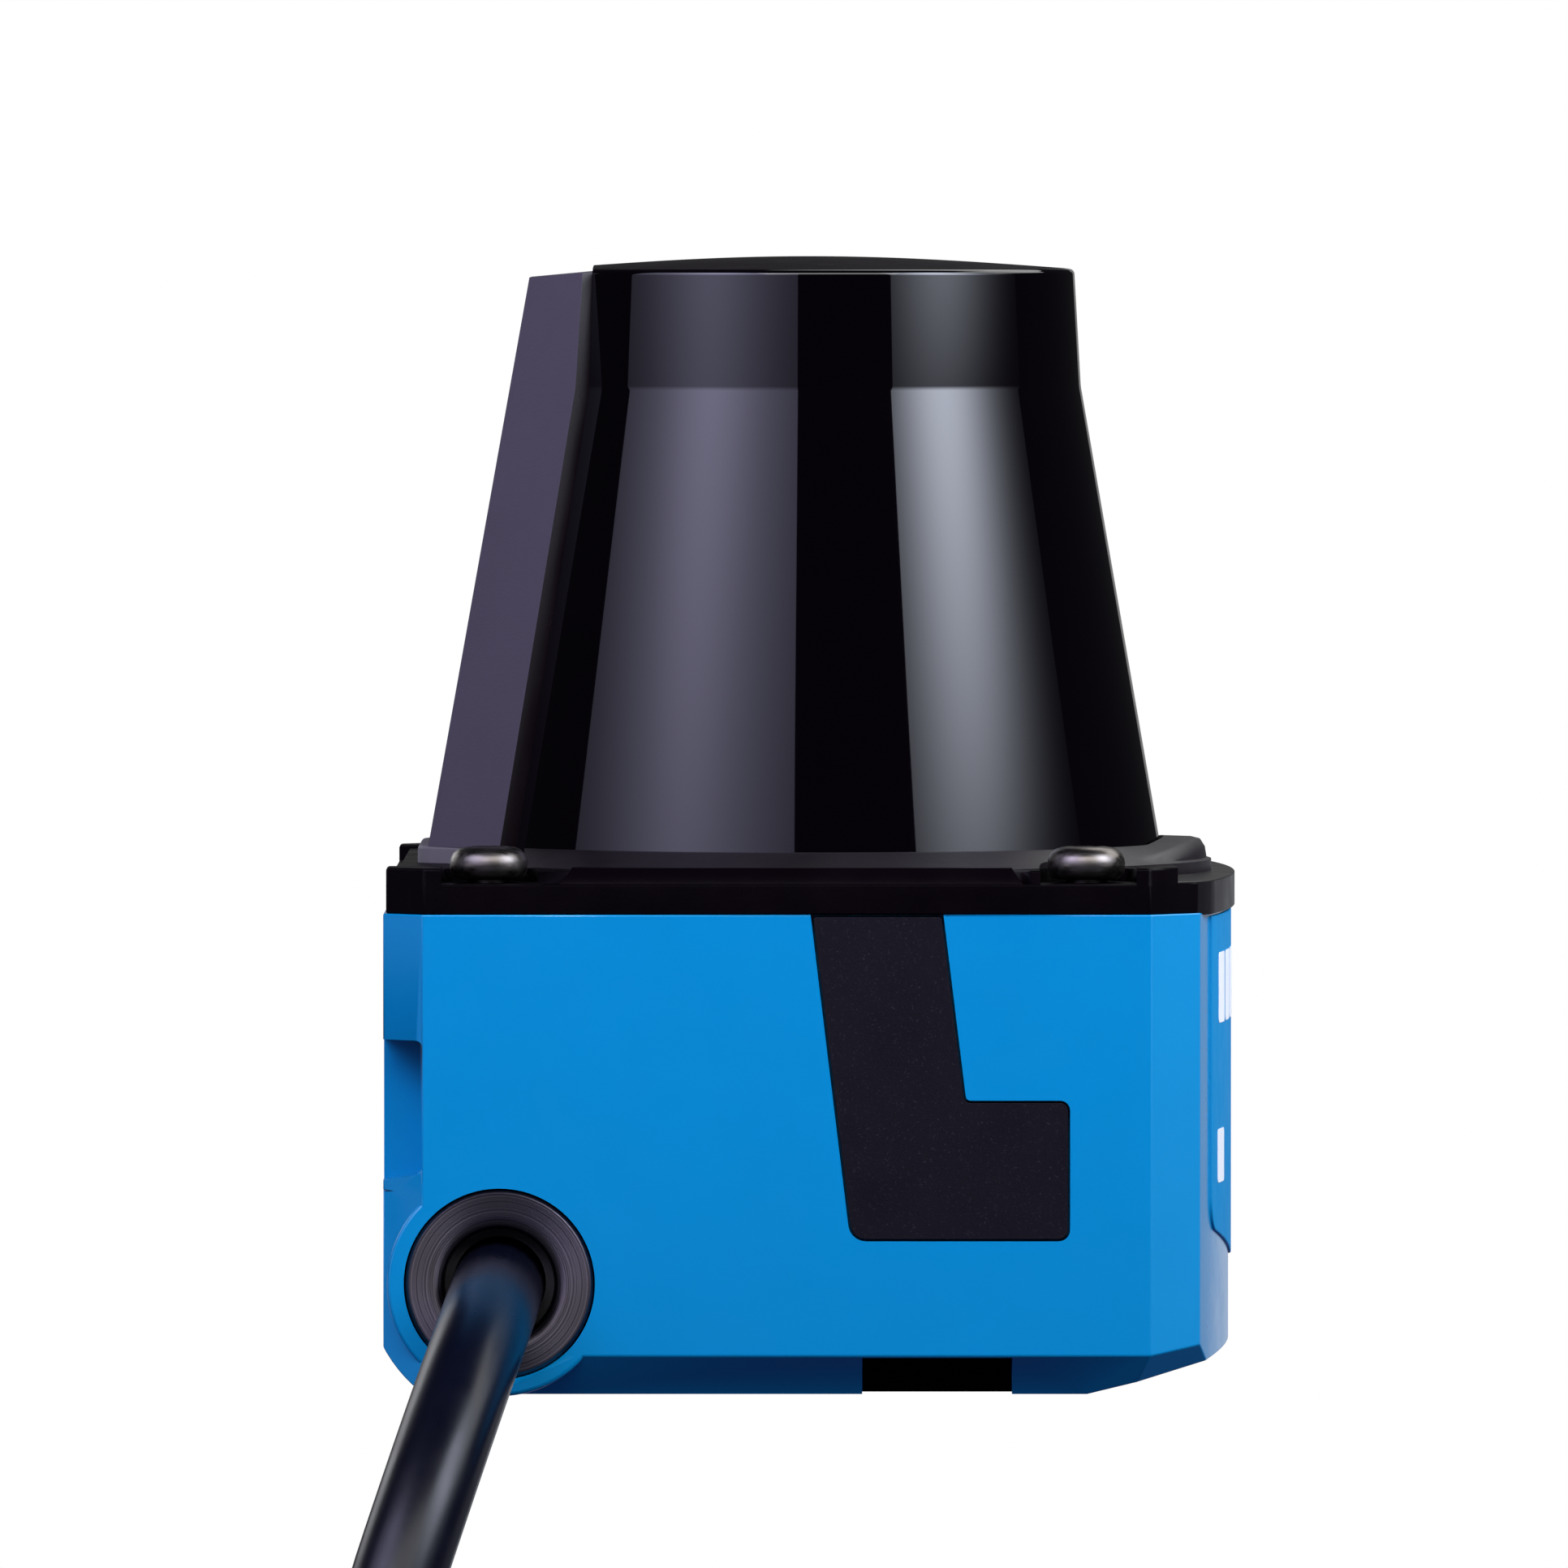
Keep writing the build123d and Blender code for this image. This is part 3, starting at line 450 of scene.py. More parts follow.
# A lighter black than the spine's: painted highlight on the rear block's facets.
block_painted_highlight = plastic("block_painted_highlight", (0.09, 0.082, 0.095), 0.6, grain_mm=0.16, depth_mm=0.02, spread=0.12)
cover_black = plastic(
    "cover_rubber",
    (0.0015, 0.0005, 0.0045),
    0.6,
    grain_mm=0.13,
    depth_mm=0.010,
    spread=0.12,
    speck=0.05,
    ior=1.26,
)
window_black = plastic("window_black", (0.0008, 0.0003, 0.0010), 0.03, spread=0.1)
dome_black = plastic(
    "dome_black", (0.004, 0.003, 0.004), 0.42, grain_mm=0.2, depth_mm=0.004, spread=0.1, ior=1.08
)
jacket_black = plastic(
    "cable_jacket", (0.001, 0.0015, 0.006), 0.30, grain_mm=0.6, depth_mm=0.004, spread=0.15, ior=1.33
)
rubber_black = plastic("soft_rubber", (0.018, 0.017, 0.019), 0.7, grain_mm=0.2, depth_mm=0.012, spread=0.15)
plug_black = plastic("plug_plastic", (0.016, 0.016, 0.017), 0.45, grain_mm=0.2, depth_mm=0.008, spread=0.12)
chip_black = plastic("chip_black", (0.02, 0.02, 0.022), 0.5, grain_mm=0.1, depth_mm=0.004, spread=0.15)
board_green = plastic("board_green", (0.01, 0.10, 0.035), 0.35, grain_mm=0.5, depth_mm=0.01, spread=0.2)
flex_amber = plastic("flex_amber", (0.45, 0.20, 0.03), 0.3, grain_mm=0.8, depth_mm=0.004, spread=0.15)
print_white = plastic("print_white", (0.85, 0.88, 0.90), 0.5, spread=0.02)
gland_metal = metal(
    "gland_black_oxide", (0.135, 0.12, 0.14), 0.40, 0.12, turned=((GLAND[0], 0, GLAND[1]), "Y")
)
screw_steel = metal("screw_steel", (0.135, 0.122, 0.112), 0.32, 0.5)
plain_steel = metal("plain_steel", (0.56, 0.56, 0.57), 0.3)
brass = metal("brass", (0.75, 0.55, 0.24), 0.3)
gold = metal("gold_plate", (0.90, 0.64, 0.22), 0.22)
copper = metal("copper_wire", (0.72, 0.32, 0.17), 0.35, 0.15)
aluminium = metal("aluminium", (0.72, 0.73, 0.74), 0.33)
anodised = metal("anodised_black", (0.05, 0.05, 0.055), 0.42)
nickel = metal("nickel", (0.62, 0.59, 0.53), 0.38, turned=((TAIL[0], TAIL[1], 0), "Z"), scratch_mm=0.1)
magnet_grey = metal("magnet_grey", (0.20, 0.20, 0.21), 0.55)
mirror_coat = metal("mirror_coat", (0.93, 0.92, 0.90), 0.03, 3.0)


def clear_glass():
    """Coated optical glass with a faint uneven tint."""
    m = Shader("optical_glass")
    m.set(Transmission_Weight=0.9, Roughness=0.02, IOR=1.52)
    tint = m.ranged(m.noise(4.0), 0, 1)
    m.link(m.mixed(tint, (0.80, 0.84, 0.95), (0.90, 0.86, 0.96)), m.surface.inputs["Base Color"])
    return m.material


optical_glass = clear_glass()


def dress(piece, material, body="housing", stands_for=()):
    """Gives a finished piece its material and its body, and hides the CAD nodes it stands for."""
    piece.data.materials.clear()
    piece.data.materials.append(material)
    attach(piece, body)
    if stands_for:
        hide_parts(*stands_for)
    return piece


# ---- Camera -----------------------------------------------------------------------------------
CAMERA_AT = Vector((-1.8, -1500.0, 84.5)) * MM
LOOKS_AT = Vector((-1.8, 0.0, 42.2)) * MM

lens = bpy.data.cameras.new("camera")
lens.sensor_width = 36
lens.lens = 481
lens.clip_start = 0.05
camera = bpy.data.objects.new("camera", lens)
camera.location = CAMERA_AT
camera.rotation_euler = (LOOKS_AT - CAMERA_AT).to_track_quat("-Z", "Y").to_euler()
bpy.context.scene.collection.objects.link(camera)
bpy.context.scene.camera = camera
bpy.context.scene.view_settings.view_transform = "Standard"

# ---- Cable, one spline: lead, three turns of coil, tail ---------------------------------------
LEAD_POINTS = [
    (-21.8, -17.0, 7.9),
    (-21.8, -36.6, 7.9),
    (-25.1, -53.8, -1.0),
    (-30.6, -63.3, -17.4),
    (-32.8, -64.4, -37.2),
]
TURNS = 3
POINTS_A_TURN = 16
LAY_R = CABLE_D / math.sqrt(2)  # the strands lie at the corners of a square that twists round the coil


def coil_points():
    """The coil's turns, a quarter twist of the bundle in each, starting at its left side."""
    points = []
    for k in range(TURNS * POINTS_A_TURN + 1):
        share = k / POINTS_A_TURN
        round_coil = math.pi + 2 * math.pi * share
        twist = math.pi / 4 + math.pi / 2 * share
        ring = COIL_R + LAY_R * math.cos(twist)
        ring /= math.cos(math.pi / POINTS_A_TURN) ** 0.5 if 0 < k < TURNS * POINTS_A_TURN else 1
        points.append(
            (
                COIL_X + ring * math.cos(round_coil),
                COIL_Y + LAY_R * math.sin(twist),
                COIL_Z + ring * math.sin(round_coil),
            )
        )
    return points


TAIL_POINTS = [(TAIL[0] - 0.2, TAIL[1], -68.0), (TAIL[0], TAIL[1], -79.0), (TAIL[0], TAIL[1], PLUG_TOP - 6)]


def cable_spline():
    """The cable from inside the housing to inside the plug."""
    curve = bpy.data.curves.new("cable_jacket_run", "CURVE")
    curve.dimensions = "3D"
    curve.bevel_depth = CABLE_D / 2 * MM
    curve.bevel_resolution = 8
    curve.resolution_u = 10
    curve.use_fill_caps = True
    route = [*LEAD_POINTS, *coil_points(), *TAIL_POINTS]
    spline = curve.splines.new("NURBS")
    spline.points.add(len(route) - 1)
    for point, spot in zip(spline.points, route):
        point.co = (*(Vector(spot) * MM), 1)
    spline.order_u = 3
    spline.use_endpoint_u = True
    cable = bpy.data.objects.new("cable_jacket_run", curve)
    bpy.context.scene.collection.objects.link(cable)
    return cable


cable_run = dress(
    cable_spline(), jacket_black, stands_for=("cable", "cable_coil", "cable_tail")
)


# ---- Tie and round plug -----------------------------------------------------------------------


def coil_tie():
    """A soft strap round the coil's turns, the lead and the tail."""
    half = CABLE_D + 0.9
    middle = (COIL_X - COIL_R, COIL_Y)
    corners = [(-half, -half), (half, -half), (half, half), (-half, half)]
    outer = [(middle[0] + a, middle[1] + b) for a, b in corners]
    strap = prism(rounded(outer, 3.2), COIL_Z - 2.8, COIL_Z + 2.8, name="coil_strap")
    inner = inset(outer, 0.85)
    hole = prism(rounded(inner, 2.6), COIL_Z - 5, COIL_Z + 5)
    combine(strap, [hole], "DIFFERENCE")
    return soften(strap, 0.25, 2)


def relief():
    """A tapered sleeve with flex ribs."""
    profile = [(3.3, 0.0), (3.9, 0.0), (4.1, -0.6)]
    ribs = 5
    for k in range(ribs):
        top = -1.4 - k * 2.0
        grow = 0.24 * k
        groove = [(4.1, 0), (3.6, -0.25), (3.6, -0.8), (4.3, -1.05)]
        profile += [(radius + grow, top + fall) for radius, fall in groove]
    profile += [(5.6, -12.2), (5.6, -14.0), (3.3, -14.0)]
    return lathe(profile, (*TAIL, PLUG_TOP), name="flex_relief")


def grip(angle, height):
    """Shallow flutes along the plug's grip."""
    return -0.22 * (0.5 + 0.5 * math.cos(18 * angle))


def knurl(angle, height):
    """Straight knurls round the coupling nut's grip."""
    return -0.16 * (0.5 + 0.5 * math.cos(40 * angle)) if -9.8 < height < -0.3 else 0


def plug_grip():
    """The plug's moulded body."""
    profile = [(3.3, 0), (6.0, 0), (6.7, -0.6), (6.9, -1.4), (6.9, -11.6), (6.4, -12.6), (5.0, -13.0)]
    profile += [(5.0, -16.0), (3.3, -16.0)]
    return lathe(profile, (*TAIL, PLUG_TOP - 14), name="plug_grip", ripple=grip)


def nut_ring():
    """The coupling nut: a knurled sleeve over the plug's nose."""
    top = PLUG_TOP - 14 - 16 + 2.5
    profile = [(5.06, 0), (6.8, 0), (7.25, -0.5), (7.25, -9.6), (6.8, -10.1), (6.8, -12.5)]
    profile += [(6.4, -13.0), (5.6, -13.0), (5.6, -2.05), (5.06, -2.05)]
    return lathe(profile, (*TAIL, top), name="knurled_nut", ripple=knurl)


strap = dress(coil_tie(), rubber_black, stands_for=("coil_tie",))
flex_relief = relief()
smooth(flex_relief, 40)
dress(flex_relief, rubber_black, stands_for=("plug_strain_relief",))
grip_piece = plug_grip()
smooth(grip_piece, 40)
dress(grip_piece, plug_black, stands_for=("plug_body",))
nut_piece = nut_ring()
smooth(nut_piece, 40)
dress(nut_piece, nickel, body="plug_nut", stands_for=("coupling_nut",))

# ---- Housing ----------------------------------------------------------------------------------
COVER_CORNERS = [
    (0.06, 40.0),
    (0.06, 33.85),
    (2.85, 10.9),
    (18.3, 10.9),
    (18.3, 20.8),
    (11.0, 20.8),
    (9.4, 33.85),
    (9.4, 40.0),
]
COVER_RADII = [0, 0, 1.25, 0.8, 0.7, 0.35, 0, 0]
PORT = (9.6, 16.2, 8.6, 4.0)  # centre x and z, width, height
INSERT_YS = (-20.0, 20.0)
REAR_FIXING_Z = 19.8
FRONT_SLOPE = [(15.65, -1), (34, -1), (34, 3.73)]  # what the sloped underside takes off the front
REAR_STEP = [(-31, 14.9), (-27.2, 15.6), (-27.2, 25.0), (-31, 25.0)]
REAR_GROOVE = [(-31, 14.1), (-29.2, 14.35), (-31, 14.6)]
BASE_NOTCH_X = (3.7, 14.25)
BASE_NOTCH_Y = 24.0
BASE_NOTCH_TOP = 2.7


def rear_corner_arc():
    """The round corner under the back, about the cable outlet's axis."""
    radius = 9.4
    turns = [math.radians(207.5 + 31.0 * k / 7) for k in range(8)]
    return [(GLAND[0] + radius * math.cos(t), GLAND[1] + radius * math.sin(t)) for t in turns]


def facet_chamfer(side):
    """What a sloped cut takes off under one slanted front corner."""
    start = Vector((FACET_START[0], side * FACET_START[1], BASE_CHAMFER))
    end = Vector((FACET_END[0], side * FACET_END[1], BASE_CHAMFER + 0.6))
    along = (end - start).normalized()
    outward = Vector((along.y * side, -along.x * side, 0)).normalized() * side
    if outward.y * side < 0:
        outward = -outward
    slope = outward + Vector((0, 0, 1))
    corners = [start + along * a + slope * b for a, b in ((-12, -9), (16, -9), (16, 9), (-12, 9))]
    return hull(corners + [c - Vector((0, 0, 22)) for c in corners])


def blue_shell():
    """The lower housing."""
    shell = prism(plan(), 0, HOUSING_TOP, name="blue_shell")
    cuts = []
    for side, rear_end in ((-1, GLAND[0]), (1, -40)):
        wedge = [(side * 31, -1), (side * (SIDE_Y - BASE_CHAMFER - 1), -1), (side * 31, BASE_CHAMFER + 1)]
        cuts.append(prism(wedge, rear_end, 40, "YZ"))
        cuts.append(facet_chamfer(side))
    cuts.append(prism(FRONT_SLOPE, -40, 40, "XZ"))
    cuts.append(prism([(-32, 3.6), (-32, -2), (-26.7, -2), *rear_corner_arc()[::-1]], -41, 41, "XZ"))
    combine(shell, cuts, "DIFFERENCE")
    soften(shell, 0.5, 4, angle=25)
    collar = prism(circle(GLAND, GLAND_BOSS_R, 96), -SIDE_Y, -SIDE_Y + 12, "XZ")
    soften(collar, 0.3, 3)
    combine(shell, [collar], "UNION")
    combine(shell, [prism(inset(plan(), WALL), FLOOR, HOUSING_TOP + 5)], "DIFFERENCE")
    inner = prism(circle(GLAND, GLAND_BOSS_R - 0.1, 64), -SIDE_Y + 1, -SIDE_Y + 9, "XZ")
    combine(shell, [inner], "UNION")
    pocket = rounded(COVER_CORNERS, COVER_RADII)
    cuts = [
        prism(circle(GLAND, GLAND_R + 0.12, 96), -SIDE_Y - 1, -SIDE_Y + 10, "XZ"),
        prism(pocket, -SIDE_Y - 1, -SIDE_Y + 1.65, "XZ"),
        prism(port_outline(0), -SIDE_Y - 1, -SIDE_Y + WALL + 1, "XZ"),
    ]
    for side in (-1, 1):
        ends = sorted((side * BASE_NOTCH_Y, side * 31.0))
        cuts.append(slab(*BASE_NOTCH_X, *ends, -1, BASE_NOTCH_TOP))
        cuts.append(prism(rounded(REAR_STEP, [0, 0.5, 0.5, 0]), *ends, "XZ"))
        cuts.append(prism(REAR_GROOVE, *sorted((side * 26.5, side * 31.0)), "XZ"))
    for y in INSERT_YS:
        cuts.append(prism(circle((0, y), 2.2, 40), -1, 6))
        cuts.append(prism(circle((y, REAR_FIXING_Z), 2.2, 40), REAR_X - 1, REAR_X + 6, "YZ"))
    combine(shell, cuts, "DIFFERENCE")
    return soften(shell, 0)


def paint_notch_shade(shell):
    """Paints the insides of the notches in the base black: painted shade in these recesses of the blue
    shell.
    """
    shell.data.materials.append(flange_black)
    for face in shell.data.polygons:
        x, y, z = face.center / MM
        if x > 2.5 and z < BASE_NOTCH_TOP and abs(abs(y) - BASE_NOTCH_Y) < 0.1 and abs(face.normal.y) > 0.9:
            face.material_index = 1


def port_outline(less):
    """The small opening behind the cover."""
    x, z, wide, tall = PORT
    a, b = wide / 2 - less, tall / 2 - less
    return rounded([(x - a, z - b), (x + a, z - b), (x + a, z + b), (x - a, z + b)], 0.6)


def label_panel():
    """The raised panel on the bowed front, with a pointed lower edge."""
    reach = 22.0
    steps = 24
    ys = [-reach + 2 * reach * k / steps for k in range(steps + 1)]
    outer = [(bow(y, 0.2), y) for y in ys]
    inner = [(bow(y, -0.6), y) for y in reversed(ys)]
    panel = prism(outer + inner, 4.0, HOUSING_TOP - 0.35, name="label_panel")
    lower = [(-reach, 45.0), (-reach, 11.5), (0, 8.3), (reach, 11.5), (reach, 45.0)]
    keep = prism(rounded(lower, [0, 2.4, 30.0, 2.4, 0], 8), 20, 40, "YZ")
    combine(panel, [keep], "INTERSECT")
    return soften(panel, 0.12, 2)


def port_cover():
    """The rubber cover of the service port, with its plug behind."""
    corners = COVER_CORNERS[1:-1]
    gap = 0.17
    outline = rounded(inset(corners, gap), [0.2, 1.1, 0.65, 0.55, 0.5, 0.2])
    cover = prism(outline, -SIDE_Y, -SIDE_Y + 1.55, "XZ", "cover_skin")
    plug = prism(port_outline(0.35), -SIDE_Y + 1.0, -SIDE_Y + 2.5, "XZ")
    combine(cover, [plug], "UNION")
    return soften(cover, 0.16, 2)


BLOCK_WIDTH = 4.0
BLOCK_PITCH = 4.9
BLOCK_YS = [-18.6 + BLOCK_PITCH * k for k in range(5)]
PRINT_BLOCKS = (
    # from y, to y, from z, to z
    *[(y, y + BLOCK_WIDTH, 25.8, 30.8) for y in BLOCK_YS],
    (-19.2, -15.0, 14.5, 18.3),
)


def print_blocks():
    """Plain white blocks in place of lettering, a hair proud of the panel."""
    blocks = None
    for y0, y1, z0, z1 in PRINT_BLOCKS:
        corners = [(y0, z0), (y1, z0), (y1, z1), (y0, z1)]
        block = prism(rounded(corners, 0.4), 25, 31, "YZ", name="panel_print")
        blocks = combine(blocks, [block], "UNION") if blocks else block
    ys = [-20 + k for k in range(41)]
    skin = prism([(bow(y, 0.23), y) for y in ys] + [(bow(y, 0.1), y) for y in reversed(ys)], 10, 33)
    return combine(blocks, [skin], "INTERSECT")


dress(print_blocks(), print_white, stands_for=("front_label_panel",))
paint_notch_shade(dress(blue_shell(), blue_gloss, stands_for=("lower_housing",)))
dress(label_panel(), blue_satin, stands_for=("front_label_panel",))
dress(port_cover(), cover_black, body="cover", stands_for=("port_cover",))


def gland_bush():
    """A turned bush with a rounded mouth."""
    lip = 1.0
    mouth = [
        (GLAND_LIP_R + lip - lip * math.cos(t), -lip + lip * math.sin(t))
        for t in (math.pi / 2 * k / 8 for k in range(9))
    ]
    profile = [(GLAND_LIP_R, -9.0), *mouth, (GLAND_R - 0.25, 0.0), (GLAND_R, -0.25), (GLAND_R, -9.0)]
    bush = lathe(profile, (GLAND[0], -SIDE_Y, GLAND[1]), axis="Y", name="gland_bush")
    smooth(bush, 40)
    return bush


dress(gland_bush(), gland_metal, stands_for=("cable_gland",))

# ---- Hood: window, spine and flange -----------------------------------------------------------
SPINE_LEVELS = (
    # height, rear plane x, rear half width, facet end x, window edge x
    (38.0, -27.14, 9.23, -21.98, -20.78),
    (70.7, -21.33, 7.7, -16.6, -15.6),
    (79.0, -19.85, 7.3, -16.1, -15.4),
)


def behind_window(grow=0.0):
    """Everything behind the window's rear edges."""
    edge = [(-21.17, 34.0), *[(level[4], level[0]) for level in SPINE_LEVELS], (-15.4, 84.0)]
    outline = [(x + grow, z) for x, z in edge] + [(-42, 84.0), (-42, 34.0)]
    return prism(outline, -40, 40, "XZ")


def dome(steps=14):
    """The shallow top, from the rim's rounded edge to the axis."""
    rim = [
        (RIM[0] - 0.4 + 0.4 * math.cos(t), RIM[1] - 0.4 + 0.4 * math.sin(t))
        for t in (math.pi / 2 * k / 5 for k in range(6))
    ]
    foot = RIM[1] + 0.05
    crown = [
        (18.2 * (1 - k / steps), foot + (DOME_Z - RIM[1] - 0.05) * math.sin(math.pi / 2 * k / steps))
        for k in range(steps + 1)
    ]
    return [*rim, *crown]


def window():
    """The glossy infrared-passing shell."""
    profile = [
        (0, CEILING_Z),
        (cone_radius(CEILING_Z, HOOD_WALL), CEILING_Z),
        (cone_radius(KINK[1], HOOD_WALL), KINK[1]),
        (cone_radius(WINDOW_SEAT, HOOD_WALL), WINDOW_SEAT),
        (cone_radius(WINDOW_SEAT), WINDOW_SEAT),
        (cone_radius(KINK[1] - 0.15), KINK[1] - 0.15),
        (cone_radius(KINK[1] + 0.15), KINK[1] + 0.15),
        *dome(),
    ]
    shell = lathe(profile, steps=256, name="window_shell")
    combine(shell, [behind_window()], "DIFFERENCE")
    smooth(shell, 30)
    return shell


def dress_dome(shell):
    """The satin top of the hood."""
    shell.data.materials.append(dome_black)
    for face in shell.data.polygons:
        if face.normal.z > 0.9 and face.center.z > RIM[1] * MM:
            face.material_index = 1


def spine_ring(z, rear, half, facet, edge):
    """One level of the spine."""
    edge_y = math.sqrt(max(cone_radius(z) ** 2 - edge**2, 0))
    facet_y = half + facet - rear
    side = [(rear, half), (facet, facet_y), (edge, edge_y)]
    return [(x, y, z) for x, y in side] + [(x, -y, z) for x, y in reversed(side)]


def spine():
    """The opaque rear of the hood, which carries the wiring up to the receiver."""
    block = loft([spine_ring(*level) for level in SPINE_LEVELS], name="rear_spine")
    top = prism([(-25, 78.05), (-15.0, 78.95), (-15.0, 83), (-25, 83)], -30, 30, "XZ")
    hollow = lathe(
        [
            (0, 30),
            (23.2, 30),
            (cone_radius(38.0, HOOD_WALL), 38.0),
            (cone_radius(KINK[1], HOOD_WALL), KINK[1]),
            (cone_radius(CEILING_Z, HOOD_WALL), CEILING_Z),
            (0, CEILING_Z),
        ],
        steps=128,
    )
    combine(block, [top, hollow], "DIFFERENCE")
    soften(block, 0.3, 3, angle=12)
    return block


def dress_strips(block):
    """The narrow smooth strips beside the window."""
    block.data.materials.append(strip_black)
    for face in block.data.polygons:
        if abs(face.normal.y) > 0.75 and face.center.z > 37 * MM:
            face.material_index = 1


FLANGE_STEP_Z = 36.0
FLANGE_TOP_Z = 37.1


def screw_pockets():
    """The recesses round the four screws."""
    pockets = []
    for x in SCREW_XS:
        for side in (-1, 1):
            corners = [(x - 3.3, 20.9), (x + 3.5, 20.9), (x + 3.5, 33), (x - 3.3, 33)]
            pocket = [(a, side * b) for a, b in rounded(corners, [2.4, 2.4, 0, 0])]
            pockets.append(prism(pocket, FLANGE_STEP_Z - 0.05, 41))
    return pockets


def flange():
    """The black flange under the hood: a base, corner posts, and a grained rib along each side."""
    edge = inset(plan(), 0.2)
    body = prism(edge, HOUSING_TOP, FLANGE_STEP_Z, name="hood_flange")
    soften(body, 0.14, 2)
    posts = prism(edge, FLANGE_STEP_Z - 0.5, FLANGE_TOP_Z)
    soften(posts, 0.2, 2)
    keep = slab(-31, -25.7, -31, 31, 30, 40)
    combine(keep, [slab(22.9, 25.9, -31, 31, 30, 40)], "UNION")
    combine(keep, [slab(-31, 31, -24.0, 24.0, 29, 41)], "DIFFERENCE")
    combine(posts, [keep], "INTERSECT")
    middle = prism(inset(plan(), 1.0), FLANGE_STEP_Z - 0.4, FLANGE_TOP_Z - 0.25)
    combine(middle, [slab(25.9, 40, -40, 40, 30, 40)], "DIFFERENCE")
    combine(body, [posts, middle], "UNION")
    for side in (-1, 1):
        low = [(-17.7, -29.75), (15.1, -29.75), (15.1, -26.5), (-17.7, -26.5)]
        high = [(-16.7, -29.1), (14.2, -29.1), (14.2, -26.5), (-16.7, -26.5)]
        rib = loft(
            [
                [(x, -side * y, FLANGE_STEP_Z - 0.2) for x, y in low],
                [(x, -side * y, FLANGE_TOP_Z) for x, y in high],
            ]
        )
        tooth = slab(15.5, 16.2, *sorted((side * 26.5, side * 29.7)), FLANGE_STEP_Z - 0.2, 36.85)
        combine(body, [rib, tooth], "UNION")
    well = lathe([(0, 30), (23.2, 30), (23.2, 36.6), (24.0, 36.6), (24.0, 41), (0, 41)], steps=128)
    combine(body, [well, *screw_pockets()], "DIFFERENCE")
    return soften(body, 0)


NOSE_HALF_ANGLE = math.radians(46)


def crescent_section(angle):
    """One section of the nose in front of the hood: highest straight ahead, low at its ends."""
    share = max(math.cos(angle * math.pi / 2 / NOSE_HALF_ANGLE), 0.0)
    top = 36.7 + 1.75 * share**1.3
    profile = [(24.4, 35.2), (28.75, 35.2), (28.6, 36.2)]
    profile += [(28.35, top - 0.7), (28.0, top - 0.15), (27.4, top), (24.4, top + 0.1)]
    return [(r * math.cos(angle), r * math.sin(angle), z) for r, z in profile]


def hood_foot():
    """The plateau that the hood stands on, with the nose in front."""
    profile = [(23.3, 35.9), (28.8, 35.9), (28.8, 36.9), (27.4, 37.35)]
    profile += [(25.75, 38.0), (25.35, 38.1), (25.2, 36.0)]
    foot = lathe(profile, steps=160, name="hood_foot")
    turns = [NOSE_HALF_ANGLE * (k / 14 - 1) for k in range(29)]
    combine(foot, [loft([crescent_section(turn) for turn in turns])], "UNION")
    seat = lathe([(0, 30), (23.25, 30), (23.25, 36.0), (25.55, 36.0), (25.2, 41), (0, 41)], steps=160)
    combine(foot, [seat, slab(-40, -20.2, -40, 40, 30, 41), *screw_pockets()], "DIFFERENCE")
    return soften(foot, 0, sharp=50)


def rear_block():
    """The block behind the spine's foot."""
    corners = [(-20.5, 14.4), (-21.9, 14.4), (-27.9, 8.6), (-27.9, -8.6), (-21.9, -14.4), (-20.5, -14.4)]
    outline = rounded(corners, [0, 0.6, 2.4, 2.4, 0.6, 0])
    block = prism(outline, 35.2, 38.1, name="rear_block")
    return soften(block, 0.3, 3)


def front_lobe():
    """The rounded shelf that overhangs the bowed front."""
    reach = 24.6
    count = 24
    front = [(bow(y, 0.45), y) for y in (-reach + 2 * reach * k / count for k in range(count + 1))]
    outline = [(23.5, -29.5), (24.2, -29.3), (27.4, -25.9), *front, (27.4, 25.9), (24.2, 29.3), (23.5, 29.5)]
    shelf = prism(outline, HOUSING_TOP - 0.15, 36.1, name="front_lobe")
    inside = [(20, -30), (bow(30, -0.6), -30), (bow(0, -0.6), 0), (bow(30, -0.6), 30), (20, 30)]
    room = prism(inside, 30, HOUSING_TOP + 0.02)
    well = lathe([(0, 30), (25.6, 30), (25.6, 41), (0, 41)], steps=128)
    combine(shelf, [room, well], "DIFFERENCE")
    return soften(shelf, 0.45, 4, angle=30)


dress_dome(dress(window(), window_black, stands_for=("scan_window",)))
dress_strips(dress(spine(), spine_black, stands_for=("hood_frame",)))
for part, material in (
    (flange(), flange_black),
    (hood_foot(), foot_black),
    (front_lobe(), lobe_black),
    (rear_block(), block_painted_highlight),
):
    dress(part, material, stands_for=("hood_frame",))


def pan_screw(x, y, number):
    """A pan-head screw with a hexagon socket."""
    head = [(1.3, 2.3), (1.8, 2.24), (2.2, 2.1), (2.5, 1.83), (2.68, 1.48), (2.75, 1.1)]
    head += [(2.73, 0.7), (2.62, 0.35), (2.42, 0.1), (2.2, 0.0)]
    profile = [(0, 2.3), *head, (1.5, 0.0), (1.5, -9.0), (0, -9.0)]
    screw = lathe(profile, (x, y, SCREW_SEAT), steps=72, name=f"pan_screw_{number}")
    socket = prism(circle((x, y), 1.3, 6), SCREW_SEAT + 1.0, SCREW_SEAT + 4)
    combine(screw, [socket], "DIFFERENCE")
    smooth(screw, 40)
    return screw


spots = [(x, side * SCREW_Y) for x in SCREW_XS for side in (-1, 1)]
for number, (x, y) in enumerate(spots, 1):
    dress(pan_screw(x, y, number), screw_steel, stands_for=("hood_screws",))

